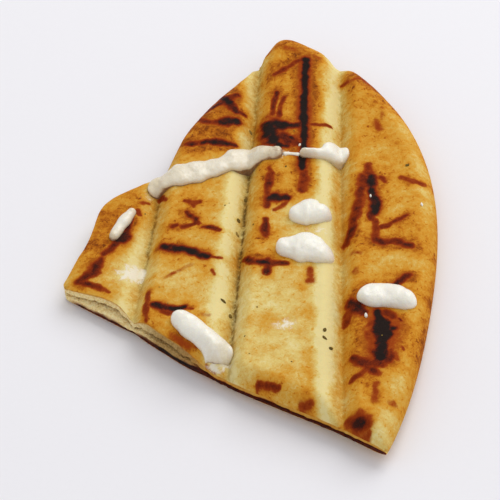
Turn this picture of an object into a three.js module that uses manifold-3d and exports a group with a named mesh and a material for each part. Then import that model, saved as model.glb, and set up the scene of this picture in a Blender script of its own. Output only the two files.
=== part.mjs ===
// A quarter of a round flatbread, toasted in a ribbed press and dressed with white garlic sauce.
// Millimetres, +Z up. The plan is worked out from the quarter's inner corner, where its two cuts
// meet: X runs across the puffed ribs towards the rim, and Y runs along them to the back.
// The finished group is then moved so that its box stands centred on the origin.

import * as THREE from 'three';
import { mergeVertices } from 'three/addons/utils/BufferGeometryUtils.js';
import Module from 'manifold-3d';

// Plan of the quarter
const FRONT_CUT_DEG = -40.7;
const BACK_CUT_DEG = 51.5;
const RIM_RADIUS = 115.8;
const RIM_SWELL = 6.4;
const RIM_SWELL_RATE = 3.45;
const RIM_SWELL_START_DEG = 11.5;
const RIM_NOTCH = 1.6;
const FRONT_BULGES = [{ at: 60, out: 2.6, spread: 42 }];
const BACK_BULGES = [
  { at: 14, out: 1.8, spread: 13 },
  { at: 32, out: 7.6, spread: 20 },
  { at: 80, out: 3.5, spread: 26 },
];

// Ribs and the pressed grooves between them
const RIB_HEIGHTS = [8.6, 10.8, 11.0, 10.2];
const RIB_BLEND = 12;
const GROOVES = [
  { at: 24.2, lean: 0.21, depth: 4.3 },
  { at: 53.0, lean: 0.155, depth: 5.5 },
  { at: 83.2, lean: 0.1, depth: 5.1 },
];
const GROOVE_HALF_WIDTH = 5.5;
const GROOVE_FLOOR = 0.4;
const GROOVE_POWER = 1.7;
const CHANNEL_DEPTH = 0.9;
const RIPPLE = 0.4;

// Rim, cut edges and corners
const EQUATOR_HEIGHT = 3.5;
const SHOULDER_WIDTH = 7;
const BELLY_WIDTH = 5;
const CUT_DROOP = 0.9;
const CUT_DROOP_REACH = 2;
const APEX_THINNING = 2.2;
const APEX_THINNING_REACH = 14;
const FRONT_CORNER_LIFT = 0.9;
const BACK_CORNER_LIFT = 2.6;
const CORNER_LIFT_START = 84;

// Near the corner the upper crust ends a little inside the lower one along the front cut
const FRONT_SET_BACKS = [{ at: 17, out: -2.2, spread: 15 }];

// Away from the corner the knife pressed the two crusts together along each cut
const PINCH_WIDTH = 5.5;
const PINCH_OVER = 16;
const FRONT_PINCH = { from: 44, top: 5, bottom: 1.6 };
const BACK_PINCH = { from: 64, top: 7.2, bottom: 1 };

// The underside rests on three small flat places and lies a little off the table between them
const RESTS = [
  { x: 34, y: 0 },
  { x: 90, y: -44 },
  { x: 97, y: 54 },
];
const REST_RADIUS = 3;
const REST_REACH = 12;
const REST_CLEARANCE = 0.4;

// Pocket that shows as a slit along both cuts, up to where they are pressed together
const POCKET_DEPTH = 6.5;
const POCKET_SHARE = 0.62;
const POCKET_MOUTH = 0.17;
const POCKET_TAPER = 14;
const POCKET_IN_GROOVE = 0.25;
const CRUMB_BULGE = 0.45;

// Herb flakes baked onto the crust
const FLAKE_SIZE = { length: 1.6, width: 1, height: 0.9 };
const FLAKES = [
  { x: 106.6, y: 28.9, turn: 0.2 },
  { x: 75.3, y: -33.8, turn: 1.1 },
  { x: 75, y: -36.6, turn: 2.3 },
  { x: 76.4, y: -39.4, turn: 0.7 },
  { x: 56.9, y: 25.8, turn: 1.6 },
  { x: 54.2, y: 16, turn: 1.3 },
  { x: 53.4, y: 10.6, turn: 2 },
  { x: 60.8, y: 54.6, turn: 1.8 },
  { x: 48.9, y: -20.6, turn: 1.4 },
  { x: 47.4, y: -16.4, turn: 2.6 },
];

// Garlic sauce: a spine of [x, y, half width] on the crust, and a thickness
const SAUCE_GAP = 0.3;
const SAUCE_ROOT = 1.2;
const SAUCE_SIDES = 12;
const SAUCE_RING_STEP = 1.9;
const SAUCE_LEAST_RINGS = 7;
const SAUCE_LUMPS = 0.07;
const GROOVE_FILL = 0.55;
const SAUCES = [
  {
    name: 'sauce_streak',
    thickness: 2.1,
    spine: [
      [28.2, 31.6, 2.4],
      [31.9, 34.2, 3.5],
      [37, 34.9, 4.1],
      [42.4, 35.7, 4.2],
      [47.6, 36.8, 3.4],
      [50.8, 37.7, 3.1],
      [54.6, 39.3, 4],
      [58.6, 40.5, 4.4],
      [62.6, 40.1, 3.4],
      [66.2, 39.2, 2.5],
      [69.8, 38.6, 1.8],
    ],
  },
  {
    name: 'sauce_tail',
    thickness: 2.6,
    spine: [
      [74.8, 37.4, 1.1],
      [78.4, 37, 1.2],
      [81.4, 36.8, 1.9],
      [84.2, 37.7, 3.3],
      [87, 38.6, 4.2],
      [90, 38.5, 3.6],
    ],
  },
  {
    name: 'sauce_upper',
    thickness: 3.2,
    spine: [[69.2, 13.4, 3], [72.6, 13, 4.3], [75.6, 12.7, 4.5], [78.6, 12, 3.7], [81.8, 12.8, 2.8]],
  },
  {
    name: 'sauce_lower',
    thickness: 3.4,
    spine: [
      [64.3, 0.5, 3],
      [68, -0.4, 4.2],
      [71.6, -1.2, 5.5],
      [74.6, -2.3, 5],
      [77.4, -4, 4.1],
      [80.9, -4.8, 3.4],
    ],
  },
  {
    name: 'sauce_crescent',
    thickness: 3,
    spine: [
      [85.6, -22.4, 2.2],
      [88.4, -22.4, 3.2],
      [92.2, -22.5, 4.4],
      [95.6, -23.2, 4.1],
      [98.4, -24.8, 3.3],
      [102.2, -26.9, 2.7],
    ],
  },
  {
    name: 'sauce_front',
    thickness: 2.9,
    spine: [
      [33, -21, 2.8],
      [36.9, -26, 3.7],
      [40.2, -30.2, 3.7],
      [42.8, -33.4, 3.8],
      [44.6, -36.2, 4],
      [45.4, -39, 3.6],
    ],
  },
  {
    name: 'sauce_edge',
    thickness: 1.7,
    spine: [[15.9, 13.8, 1.3], [19.2, 19.8, 2], [23.2, 25.2, 1.4]],
  },
];

// Fineness of the surfaces
const OUTLINE_STEP = 2.4;
const TOP_STEP = 2.6;
const UNDERSIDE_STEP = 5;
const SHOULDER_ROWS = [0.5, 1.7, 3.7, 6];
const BELLY_ROWS = [0.6, 2.2, BELLY_WIDTH];
const PINCH_ROWS = [0.6, 2.2, 4.4];
const GROOVE_ROWS = [0, -1.8, 1.8, -3.8, 3.8];
const EDGE_CLEARANCE = 0.9;
const INNER_CLEARANCE = 0.62;
const INSET = 0.3;
const GRID_JITTER = 0.12;

const frontCut = THREE.MathUtils.degToRad(FRONT_CUT_DEG);
const backCut = THREE.MathUtils.degToRad(BACK_CUT_DEG);
const halfCorner = (backCut - frontCut) / 2;
const frontAlong = new THREE.Vector2(Math.cos(frontCut), Math.sin(frontCut));
const frontOutward = new THREE.Vector2(frontAlong.y, -frontAlong.x);
const backAlong = new THREE.Vector2(Math.cos(backCut), Math.sin(backCut));
const backOutward = new THREE.Vector2(-backAlong.y, backAlong.x);

const smooth = (value) => THREE.MathUtils.smoothstep(value, 0, 1);

// How far a point lies to the rim side of a groove's line
function grooveOffset(groove, x, y) {
  return (x - groove.at - groove.lean * y) / Math.hypot(1, groove.lean);
}

// 1 on a groove's crease and 0 beyond its flanks
function trough(groove, x, y) {
  const reach = Math.hypot(grooveOffset(groove, x, y), GROOVE_FLOOR) / GROOVE_HALF_WIDTH;
  return (1 - Math.min(1, reach)) ** GROOVE_POWER;
}

function deepestTrough(x, y) {
  return Math.max(...GROOVES.map((groove) => trough(groove, x, y)));
}

// Radius of the rim about the corner: it swells to the back, flattens to the front
// and is notched a little where a groove runs out over it
function rimRadius(angle) {
  const turn = angle - THREE.MathUtils.degToRad(RIM_SWELL_START_DEG);
  const radius = RIM_RADIUS + RIM_SWELL * Math.sin(RIM_SWELL_RATE * turn);
  return radius - RIM_NOTCH * deepestTrough(radius * Math.cos(angle), radius * Math.sin(angle));
}

// How far a cut swells outwards at a distance from the corner
function bulge(bulges, distance) {
  return bulges.reduce((sum, { at, out, spread }) => {
    const off = Math.min(1, Math.abs(distance - at) / spread);
    return sum + out * Math.cos((Math.PI / 2) * off) ** 2;
  }, 0);
}

// How far inside the rim and inside each cut a point lies
function depths(x, y) {
  const point = new THREE.Vector2(x, y);
  return {
    rim: rimRadius(Math.atan2(y, x)) - point.length(),
    front: bulge(FRONT_BULGES, point.dot(frontAlong)) - point.dot(frontOutward),
    back: bulge(BACK_BULGES, point.dot(backAlong)) - point.dot(backOutward),
  };
}

// Height of the ribs before the grooves are pressed in
function ribHeight(x, y) {
  const steps = GROOVES.map((groove, index) => {
    const rise = RIB_HEIGHTS[index + 1] - RIB_HEIGHTS[index];
    return rise * smooth(grooveOffset(groove, x, y) / RIB_BLEND + 0.5);
  });
  return steps.reduce((sum, step) => sum + step, RIB_HEIGHTS[0]);
}

function ripple(x, y) {
  const slow = Math.sin(x / 7.3 + 1.1) * Math.sin(y / 9.7 + 0.4);
  const quick = Math.sin(x / 4.9 - y / 6.1);
  return RIPPLE * (slow + 0.6 * quick);
}

// The two outer corners curl up off the table
function cornerLift(x, y) {
  const middle = (frontCut + backCut) / 2;
  const side = (Math.atan2(y, x) - middle) / halfCorner;
  const most = side > 0 ? BACK_CORNER_LIFT : FRONT_CORNER_LIFT;
  const out = (Math.hypot(x, y) - CORNER_LIFT_START) / (RIM_RADIUS - CORNER_LIFT_START);
  return most * smooth(out) * Math.min(1, Math.abs(side)) ** 3;
}

// Part of the full height that is left at a distance inside a rounded edge
function roundedEdge(depth, width) {
  const left = 1 - Math.min(1, Math.max(0, depth / width));
  return Math.sqrt(1 - left * left);
}

// Moves a height towards the one it has on a cut edge where the crusts are pressed together
function pinched(height, x, y, depth, edgeHeight) {
  const distance = Math.hypot(x, y);
  const share = (pinch, cutDepth) =>
    smooth((distance - pinch.from) / PINCH_OVER) * (1 - roundedEdge(cutDepth, PINCH_WIDTH));
  const afterFront = THREE.MathUtils.lerp(height, edgeHeight(FRONT_PINCH), share(FRONT_PINCH, depth.front));
  return THREE.MathUtils.lerp(afterFront, edgeHeight(BACK_PINCH), share(BACK_PINCH, depth.back));
}

// Height of the crust's upper face, with its grooves filled by the given share
function topHeight(x, y, fill = 0) {
  const depth = depths(x, y);
  const pressed = GROOVES.reduce((sum, groove) => sum + groove.depth * trough(groove, x, y), 0);
  const cutDepth = Math.max(0, Math.min(depth.front, depth.back));
  const droop = CUT_DROOP * Math.exp(-cutDepth / CUT_DROOP_REACH);
  const thinning = APEX_THINNING * Math.exp(-Math.hypot(x, y) / APEX_THINNING_REACH);
  const puffed = ribHeight(x, y) + ripple(x, y) - (1 - fill) * pressed - droop - thinning;
  const full = pinched(puffed, x, y, depth, ({ top }) => Math.min(puffed, top));
  const raised = (full - EQUATOR_HEIGHT) * roundedEdge(depth.rim, SHOULDER_WIDTH);
  return EQUATOR_HEIGHT + raised + cornerLift(x, y);
}

// 0 on the places where the bread rests on the table and 1 away from them
function clearOfTable(x, y) {
  const nearest = Math.min(...RESTS.map((rest) => Math.hypot(x - rest.x, y - rest.y)));
  return THREE.MathUtils.clamp((nearest - REST_RADIUS) / REST_REACH, 0, 1);
}

// Height of the underside, with shallow channels under the grooves
function undersideHeight(x, y) {
  const depth = depths(x, y);
  const channel = CHANNEL_DEPTH * deepestTrough(x, y);
  const full = pinched(channel, x, y, depth, ({ bottom }) => Math.max(channel, bottom));
  const lift = cornerLift(x, y);
  const lying = clearOfTable(x, y) * (REST_CLEARANCE + full + lift);
  return THREE.MathUtils.lerp(EQUATOR_HEIGHT + lift, lying, roundedEdge(depth.rim, BELLY_WIDTH));
}

// Points along one cut, from the corner out to the rim, without the corner itself
function cutPoints(angle, along, outward, bulges) {
  const length = rimRadius(angle);
  const count = Math.round(length / OUTLINE_STEP);
  return Array.from({ length: count }, (_, index) => {
    const distance = (length * (index + 1)) / count;
    const point = along.clone().multiplyScalar(distance);
    return point.addScaledVector(outward, bulge(bulges, distance));
  });
}

// Points along the rim between the two cuts, front to back, without its ends
function rimPoints() {
  const count = Math.round(((backCut - frontCut) * RIM_RADIUS) / OUTLINE_STEP);
  return Array.from({ length: count - 1 }, (_, index) => {
    const angle = THREE.MathUtils.lerp(frontCut, backCut, (index + 1) / count);
    const radius = rimRadius(angle);
    return new THREE.Vector2(radius * Math.cos(angle), radius * Math.sin(angle));
  });
}

// Rows of points that follow both cuts at given depths inside them
function cutRows(rows, front) {
  const follow = (points, outward) =>
    rows.flatMap((row, rowIndex) =>
      points.slice(1).map((point, index) => {
        const between = point.clone().lerp(points[index], 0.5 * ((rowIndex + 1) % 2));
        return between.addScaledVector(outward, -row);
      }),
    );
  return [...follow(front, frontOutward), ...follow(backPoints, backOutward)];
}

const frontPoints = cutPoints(frontCut, frontAlong, frontOutward, FRONT_BULGES);
const backPoints = cutPoints(backCut, backAlong, backOutward, BACK_BULGES);
const apex = new THREE.Vector2(0, 0);
const upperFrontPoints = frontPoints.map((point) => {
  return point.clone().addScaledVector(frontOutward, bulge(FRONT_SET_BACKS, point.dot(frontAlong)));
});
const upperOutline = [apex, ...upperFrontPoints, ...rimPoints(), ...backPoints.toReversed()];
const lowerOutline = [apex, ...frontPoints, ...rimPoints(), ...backPoints.toReversed()];

// Rows of points that follow the rim at given depths inside it
function rimRows(rows) {
  const count = Math.round(((backCut - frontCut) * RIM_RADIUS) / OUTLINE_STEP);
  return rows.flatMap((row, rowIndex) =>
    Array.from({ length: count }, (_, index) => {
      const angle = THREE.MathUtils.lerp(frontCut, backCut, (index + 0.5 * ((rowIndex + 1) % 2)) / count);
      const radius = rimRadius(angle) - row;
      return new THREE.Vector2(radius * Math.cos(angle), radius * Math.sin(angle));
    }),
  );
}

// Rows of points that follow every groove at given distances from its crease
function grooveRows(rows, step) {
  const reach = RIM_RADIUS + RIM_SWELL;
  const count = Math.round((2 * reach) / step);
  return GROOVES.flatMap((groove) =>
    rows.flatMap((row) =>
      Array.from({ length: count }, (_, index) => {
        const y = -reach + index * step;
        return new THREE.Vector2(groove.at + groove.lean * y + row * Math.hypot(1, groove.lean), y);
      }),
    ),
  );
}

// Three corners of each flat place that the bread rests on
function restCorners() {
  return RESTS.flatMap(({ x, y }, index) =>
    [0, 1, 2].map((corner) => {
      const turn = index + (corner * 2 * Math.PI) / 3;
      return new THREE.Vector2(x + REST_RADIUS * Math.cos(turn), y + REST_RADIUS * Math.sin(turn));
    }),
  );
}

// A grid of staggered points over the whole quarter, each moved a little off its place
function staggeredGrid(step) {
  const reach = RIM_RADIUS + RIM_SWELL;
  const rowStep = (step * Math.sqrt(3)) / 2;
  const points = [];
  for (let row = 0; row * rowStep < 2 * reach; row++) {
    for (let column = 0; column * step < reach; column++) {
      const x = (column + 0.5 * (row % 2)) * step + GRID_JITTER * Math.sin(7 * row + 3 * column);
      const y = row * rowStep - reach + GRID_JITTER * Math.sin(5 * row + 11 * column);
      points.push(new THREE.Vector2(x, y));
    }
  }
  return points;
}

// The outline, and then each candidate that lies inside it and clear of the points before it
function spreadPoints(groups, outline) {
  const points = [...outline];
  groups.forEach(({ candidates, clearance }) => {
    candidates.forEach((candidate) => {
      const depth = depths(candidate.x, candidate.y);
      const inset = Math.min(depth.front, depth.back, depth.rim) > INSET;
      const clear = points.every((point) => point.distanceTo(candidate) > clearance);
      if (inset && clear && insideOutline(candidate, outline)) points.push(candidate);
    });
  });
  return points;
}

// A triangle of point numbers with the circle through its corners
function circled(points, a, b, c) {
  const [p, q, r] = [points[a], points[b], points[c]];
  const twiceArea = 2 * ((q.x - p.x) * (r.y - p.y) - (q.y - p.y) * (r.x - p.x));
  const qLength = q.distanceToSquared(p);
  const rLength = r.distanceToSquared(p);
  const x = ((r.y - p.y) * qLength - (q.y - p.y) * rLength) / twiceArea;
  const y = ((q.x - p.x) * rLength - (r.x - p.x) * qLength) / twiceArea;
  return { corners: [a, b, c], centre: new THREE.Vector2(p.x + x, p.y + y), radiusSquared: x * x + y * y };
}

// Delaunay triangles of scattered points, found by adding the points one at a time
function triangulate(scattered) {
  const far = 1e5;
  const count = scattered.length;
  const frame = [new THREE.Vector2(-far, -far), new THREE.Vector2(far, -far), new THREE.Vector2(0, far)];
  const points = [...scattered, ...frame];
  let triangles = [circled(points, count, count + 1, count + 2)];
  scattered.forEach((point, index) => {
    const border = new Map();
    const kept = [];
    triangles.forEach((triangle) => {
      if (triangle.centre.distanceToSquared(point) >= triangle.radiusSquared) {
        kept.push(triangle);
        return;
      }
      const [a, b, c] = triangle.corners;
      [[a, b], [b, c], [c, a]].forEach(([from, to]) => {
        if (!border.delete(`${to}_${from}`)) border.set(`${from}_${to}`, [from, to]);
      });
    });
    const added = Array.from(border.values(), ([from, to]) => circled(points, from, to, index));
    triangles = [...kept, ...added];
  });
  return triangles.map((triangle) => triangle.corners).filter((corners) => Math.max(...corners) < count);
}

function insideOutline(point, outline) {
  let inside = false;
  outline.forEach((end, index) => {
    const start = outline.at(index - 1);
    const crosses = end.y > point.y !== start.y > point.y;
    if (!crosses) return;
    const crossing = start.x + ((point.y - start.y) / (end.y - start.y)) * (end.x - start.x);
    if (point.x < crossing) inside = !inside;
  });
  return inside;
}

// One face of the bread as a list of triangles: its plan is triangulated and then lifted
function sheetTriangles(groups, outline, height) {
  const points = spreadPoints(groups, outline);
  const lifted = points.map((point) => new THREE.Vector3(point.x, point.y, height(point.x, point.y)));
  const inner = triangulate(points).filter((corners) => {
    const [a, b, c] = corners.map((corner) => points[corner]);
    return insideOutline(new THREE.Vector2((a.x + b.x + c.x) / 3, (a.y + b.y + c.y) / 3), outline);
  });
  return inner.map((corners) => corners.map((corner) => lifted[corner]));
}

// How far the pocket runs in behind a cut, at a distance from the corner
function pocketDepth(point, distance, pinch) {
  const closing = smooth((pinch.from + PINCH_OVER - distance) / POCKET_TAPER);
  const pressed = 1 - (1 - POCKET_IN_GROOVE) * deepestTrough(point.x, point.y);
  const uneven = 0.8 + 0.2 * Math.sin(distance / 9);
  return POCKET_DEPTH * closing * pressed * uneven;
}

// One upright chain of points on a cut face, from the bottom edge to the top edge
function wallColumn(point, upperPoint, distance, { angle, along, outward, pinch }) {
  const bottom = undersideHeight(point.x, point.y);
  const top = topHeight(upperPoint.x, upperPoint.y);
  const fading = smooth((rimRadius(angle) - distance) / POCKET_TAPER) * smooth(distance / 2);
  const pocket = pocketDepth(point, distance, pinch);
  const rows = [
    { share: 0, inset: 0 },
    { share: 0.22, inset: -CRUMB_BULGE * fading },
    { share: POCKET_SHARE - POCKET_MOUTH / 2, inset: 0 },
    { share: POCKET_SHARE, inset: pocket },
    { share: POCKET_SHARE + POCKET_MOUTH / 2, inset: 0 },
    { share: 0.85, inset: -CRUMB_BULGE * fading },
    { share: 1, inset: 0 },
  ];
  return rows.map(({ share, inset }) => {
    const cornerRun = Math.max(0, inset) / Math.tan(halfCorner);
    const moved = Math.hypot(distance, cornerRun) - distance;
    const start = share > POCKET_SHARE ? upperPoint : point;
    const place = start.clone().addScaledVector(along, moved).addScaledVector(outward, -inset);
    return new THREE.Vector3(place.x, place.y, THREE.MathUtils.lerp(bottom, top, share));
  });
}

// Both cut faces as one strip of triangles, from the front outer corner to the back one
function wallTriangles() {
  const frontFace = { angle: frontCut, along: frontAlong, outward: frontOutward, pinch: FRONT_PINCH };
  const backFace = { angle: backCut, along: backAlong, outward: backOutward, pinch: BACK_PINCH };
  const columnsOf = (points, upperPoints, face) =>
    points.map((point, index) => {
      const distance = (rimRadius(face.angle) * (index + 1)) / points.length;
      return wallColumn(point, upperPoints[index], distance, face);
    });
  const corner = wallColumn(apex, apex, 0, frontFace);
  const front = columnsOf(frontPoints, upperFrontPoints, frontFace);
  const back = columnsOf(backPoints, backPoints, backFace);
  const columns = [...front.toReversed(), corner, ...back];
  const triangles = [];
  columns.slice(1).forEach((right, index) => {
    const left = columns[index];
    left.slice(1).forEach((_, row) => {
      triangles.push([left[row], left[row + 1], right[row + 1]]);
      triangles.push([left[row], right[row + 1], right[row]]);
    });
  });
  return triangles;
}

// A closed geometry from loose triangles: shared corners are merged and empty triangles dropped
function closedGeometry(triangles) {
  const loose = new THREE.BufferGeometry().setFromPoints(triangles.flat());
  const merged = mergeVertices(loose, 1e-4);
  const numbers = merged.index.array;
  const kept = [];
  for (let at = 0; at < numbers.length; at += 3) {
    const [a, b, c] = numbers.slice(at, at + 3);
    if (a !== b && b !== c && c !== a) kept.push(a, b, c);
  }
  merged.setIndex(kept);
  return merged;
}

function breadGeometry() {
  const channelRows = [0, -GROOVE_HALF_WIDTH, GROOVE_HALF_WIDTH];
  const upperEdges = [...rimRows(SHOULDER_ROWS), ...cutRows(PINCH_ROWS, upperFrontPoints)];
  const lowerEdges = [...rimRows(BELLY_ROWS), ...cutRows([PINCH_WIDTH], frontPoints)];
  const topGroups = [
    { candidates: upperEdges, clearance: EDGE_CLEARANCE },
    { candidates: grooveRows(GROOVE_ROWS, TOP_STEP), clearance: INNER_CLEARANCE * TOP_STEP },
    { candidates: staggeredGrid(TOP_STEP), clearance: INNER_CLEARANCE * TOP_STEP },
  ];
  const underGroups = [
    { candidates: restCorners(), clearance: EDGE_CLEARANCE },
    { candidates: lowerEdges, clearance: EDGE_CLEARANCE },
    { candidates: grooveRows(channelRows, UNDERSIDE_STEP), clearance: INNER_CLEARANCE * UNDERSIDE_STEP },
    { candidates: staggeredGrid(UNDERSIDE_STEP), clearance: INNER_CLEARANCE * UNDERSIDE_STEP },
  ];
  const top = sheetTriangles(topGroups, upperOutline, topHeight);
  const underside = sheetTriangles(underGroups, lowerOutline, undersideHeight);
  const turned = underside.map(([a, b, c]) => [a, c, b]);
  return closedGeometry([...top, ...turned, ...wallTriangles()]);
}

// A smooth curve through a sauce's spine, with its half width in place of a height
function spineCurve(spine) {
  return new THREE.CatmullRomCurve3(spine.map(([x, y, halfWidth]) => new THREE.Vector3(x, y, halfWidth)));
}

// One ring of a sauce piece: round above, and sunk a little into the crust below
function sauceRing(curve, share, thickness) {
  const centre = curve.getPointAt(share);
  const heading = curve.getTangentAt(share);
  const side = new THREE.Vector2(-heading.y, heading.x).normalize();
  const toEnd = Math.min(share, 1 - share) * curve.getLength();
  const roundness = roundedEdge(toEnd, centre.z);
  const lumps = 1 + SAUCE_LUMPS * Math.sin(0.9 * centre.x + 0.7 * centre.y);
  return Array.from({ length: SAUCE_SIDES }, (_, index) => {
    const turn = (2 * Math.PI * index) / SAUCE_SIDES;
    const across = centre.z * roundness * lumps * Math.cos(turn);
    const x = centre.x + side.x * across;
    const y = centre.y + side.y * across;
    const rise = Math.sin(turn) * roundness;
    const upper = topHeight(x, y, GROOVE_FILL) + thickness * lumps * rise;
    const lower = topHeight(x, y) + SAUCE_ROOT * (rise - 0.2);
    return new THREE.Vector3(x, y, rise > 0 ? Math.max(upper, lower) : lower);
  });
}

// One sauce piece as a closed tube that lies along its spine, with closer rings at its ends
function sauceGeometry({ spine, thickness }) {
  const curve = spineCurve(spine);
  const count = Math.max(SAUCE_LEAST_RINGS, Math.round(curve.getLength() / SAUCE_RING_STEP));
  const rings = Array.from({ length: count + 1 }, (_, index) => {
    const even = index / count;
    const share = THREE.MathUtils.lerp(even, (1 - Math.cos(Math.PI * even)) / 2, 0.7);
    return sauceRing(curve, share, thickness);
  });
  return closedGeometry(tubeTriangles(rings));
}

// Triangles between neighbouring rings; the first and last ring have shrunk to a point each
function tubeTriangles(rings) {
  const triangles = [];
  rings.slice(1).forEach((next, index) => {
    const ring = rings[index];
    ring.forEach((_, at) => {
      const after = (at + 1) % ring.length;
      triangles.push([ring[at], ring[after], next[after]]);
      triangles.push([ring[at], next[after], next[at]]);
    });
  });
  return triangles;
}

function flakeGeometry({ x, y, turn }) {
  const flake = new THREE.IcosahedronGeometry(0.5, 0);
  flake.scale(FLAKE_SIZE.length, FLAKE_SIZE.width, FLAKE_SIZE.height);
  flake.rotateZ(turn);
  flake.translate(x, y, topHeight(x, y));
  flake.deleteAttribute('normal');
  flake.deleteAttribute('uv');
  return mergeVertices(flake);
}

const wasm = await Module();
wasm.setup();

function toSolid(geometry) {
  const vertProperties = new Float32Array(geometry.attributes.position.array);
  const triVerts = new Uint32Array(geometry.index.array);
  return new wasm.Manifold(new wasm.Mesh({ numProp: 3, vertProperties, triVerts }));
}

function toGeometry(solid) {
  const mesh = solid.getMesh();
  const geometry = new THREE.BufferGeometry();
  geometry.setAttribute('position', new THREE.BufferAttribute(mesh.vertProperties, 3));
  geometry.setIndex(new THREE.BufferAttribute(mesh.triVerts, 1));
  geometry.computeVertexNormals();
  return geometry;
}

const toastedCrust = new THREE.MeshStandardMaterial({ color: '#d6a857', roughness: 0.75, metalness: 0 });
const garlicSauce = new THREE.MeshStandardMaterial({ color: '#efeadd', roughness: 0.3, metalness: 0 });

const crust = toSolid(breadGeometry());

function breadMesh() {
  const flaked = FLAKES.reduce((solid, place) => solid.add(toSolid(flakeGeometry(place))), crust);
  const mesh = new THREE.Mesh(toGeometry(flaked), toastedCrust);
  mesh.name = 'bread';
  return mesh;
}

// A sauce piece is cut to the crust below it, a small gap above it, and a loose scrap is dropped
function sauceMesh(sauce) {
  const cut = toSolid(sauceGeometry(sauce)).subtract(crust.translate([0, 0, SAUCE_GAP]));
  const lying = cut.decompose().reduce((most, piece) => (piece.volume() > most.volume() ? piece : most));
  const mesh = new THREE.Mesh(toGeometry(lying), garlicSauce);
  mesh.name = sauce.name;
  return mesh;
}

const quarter = new THREE.Group();
quarter.add(breadMesh(), ...SAUCES.map(sauceMesh));

const box = new THREE.Box3().setFromObject(quarter);
const centre = box.getCenter(new THREE.Vector3());
quarter.position.set(-centre.x, -centre.y, -box.min.z);

export default quarter;
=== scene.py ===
"""A quarter of round flatbread, toasted in a ribbed press and dressed with white garlic sauce.

Shapes are worked out in millimetres over the quarter's plan: its origin is the inner corner where
the two cuts meet, X runs across the puffed ribs to the rim, and Y runs along them to the back.
"""

import logging
import math
from dataclasses import dataclass, replace
from enum import Enum
from typing import Sequence

import bpy
import numpy as np
from mathutils import Matrix, Vector
from mathutils.geometry import delaunay_2d_cdt


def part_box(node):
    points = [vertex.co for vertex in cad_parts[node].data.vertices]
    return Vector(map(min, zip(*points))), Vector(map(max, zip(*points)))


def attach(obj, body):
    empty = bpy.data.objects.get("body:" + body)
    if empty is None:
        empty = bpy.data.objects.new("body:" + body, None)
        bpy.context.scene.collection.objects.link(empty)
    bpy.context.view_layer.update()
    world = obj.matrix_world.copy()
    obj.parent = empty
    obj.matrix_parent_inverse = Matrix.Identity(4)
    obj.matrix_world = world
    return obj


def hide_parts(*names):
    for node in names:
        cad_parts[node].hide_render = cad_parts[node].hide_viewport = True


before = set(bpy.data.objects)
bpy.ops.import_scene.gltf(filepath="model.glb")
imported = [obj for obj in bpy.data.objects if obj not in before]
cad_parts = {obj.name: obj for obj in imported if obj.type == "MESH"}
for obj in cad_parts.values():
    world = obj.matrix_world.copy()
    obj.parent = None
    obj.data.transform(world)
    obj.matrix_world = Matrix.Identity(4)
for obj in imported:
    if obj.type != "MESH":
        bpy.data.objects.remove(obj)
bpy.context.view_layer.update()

log = logging.getLogger("flatbread")

Triple = tuple[float, float, float]
Colour = Triple
Place = tuple[float, float]
Span = tuple[float, float]
Array = np.ndarray
Marks = dict[str, Array]
Socket = bpy.types.NodeSocket
Material = bpy.types.Material
Piece = bpy.types.Object

MM = 0.001
TINY = 1e-9
SHARP_EDGE = math.radians(62)
# Surface marks on the bread; the crease mark is painted shade in the grooves and in the pocket.
MARKS = ("toast", "singe", "crumb", "crease", "fresh", "film")


def smooth(value: Array) -> Array:
    """Rises from 0 to 1 with level ends as the value goes from 0 to 1."""
    held = np.clip(value, 0.0, 1.0)
    return held * held * (3.0 - 2.0 * held)


def rounded_edge(depth: Array, width: float) -> Array:
    """Part of the full height inside a rounded edge: 0 on it, and 1 from the width inwards."""
    left = 1.0 - np.clip(np.asarray(depth) / width, 0.0, 1.0)
    return np.sqrt(1.0 - left * left)


def between(low: Array, high: Array, share: Array) -> Array:
    """Mixes two values: all of the first at share 0 and all of the second at share 1."""
    return low + (high - low) * share


def hump(off: Array, width: "float | Array", power: int = 2) -> Array:
    """1 in its middle, and little more than a third at the width; a greater power makes it squarer."""
    return np.exp(-((off / width) ** power))


def read_along(rows: Sequence[Place], y: Array) -> Array:
    """Reads off, at places along the ribs, what rows of y and value say."""
    return np.interp(y, *zip(*rows))


@dataclass(frozen=True)
class Unevenness:
    """Smooth random variation over a surface, as far as its amount either way, the same on every run."""

    size: float
    seed: int
    layers: int = 1
    amount: float = 1.0
    seed_step: int = 31
    first_turn: float = 0.6
    turn_step: float = 1.3
    table_side: int = 256

    def at(self, x: Array, y: Array) -> Array:
        """Values at places on the surface.

        Args:
            x: first coordinates in millimetres.
            y: second coordinates in millimetres.

        Returns:
            One value for each place.
        """
        total, reach = np.zeros(np.broadcast(x, y).shape), 0.0
        for layer in range(self.layers):
            share = 0.5**layer
            total += share * self._layer(x, y, self.size * share, self.seed + self.seed_step * layer)
            reach += share
        return self.amount * (total / reach)

    def _layer(self, x: Array, y: Array, size: float, seed: int) -> Array:
        """One layer: random values on a turned square grid, joined smoothly.

        Args:
            x: first coordinates in millimetres.
            y: second coordinates in millimetres.
            size: width of the grid's squares.
            seed: picks the random values.

        Returns:
            One value for each place.
        """
        side = self.table_side
        table = np.random.default_rng(seed).uniform(-1.0, 1.0, (side, side))
        turn = self.first_turn + self.turn_step * seed
        u = (x * math.cos(turn) - y * math.sin(turn)) / size
        v = (x * math.sin(turn) + y * math.cos(turn)) / size
        column, row = np.floor(u).astype(int), np.floor(v).astype(int)
        right, up = smooth(u - column), smooth(v - row)
        left, beside = column % side, (column + 1) % side
        low = between(table[left, row % side], table[beside, row % side], right)
        above = (row + 1) % side
        high = between(table[left, above], table[beside, above], right)
        return between(low, high, up)


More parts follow.
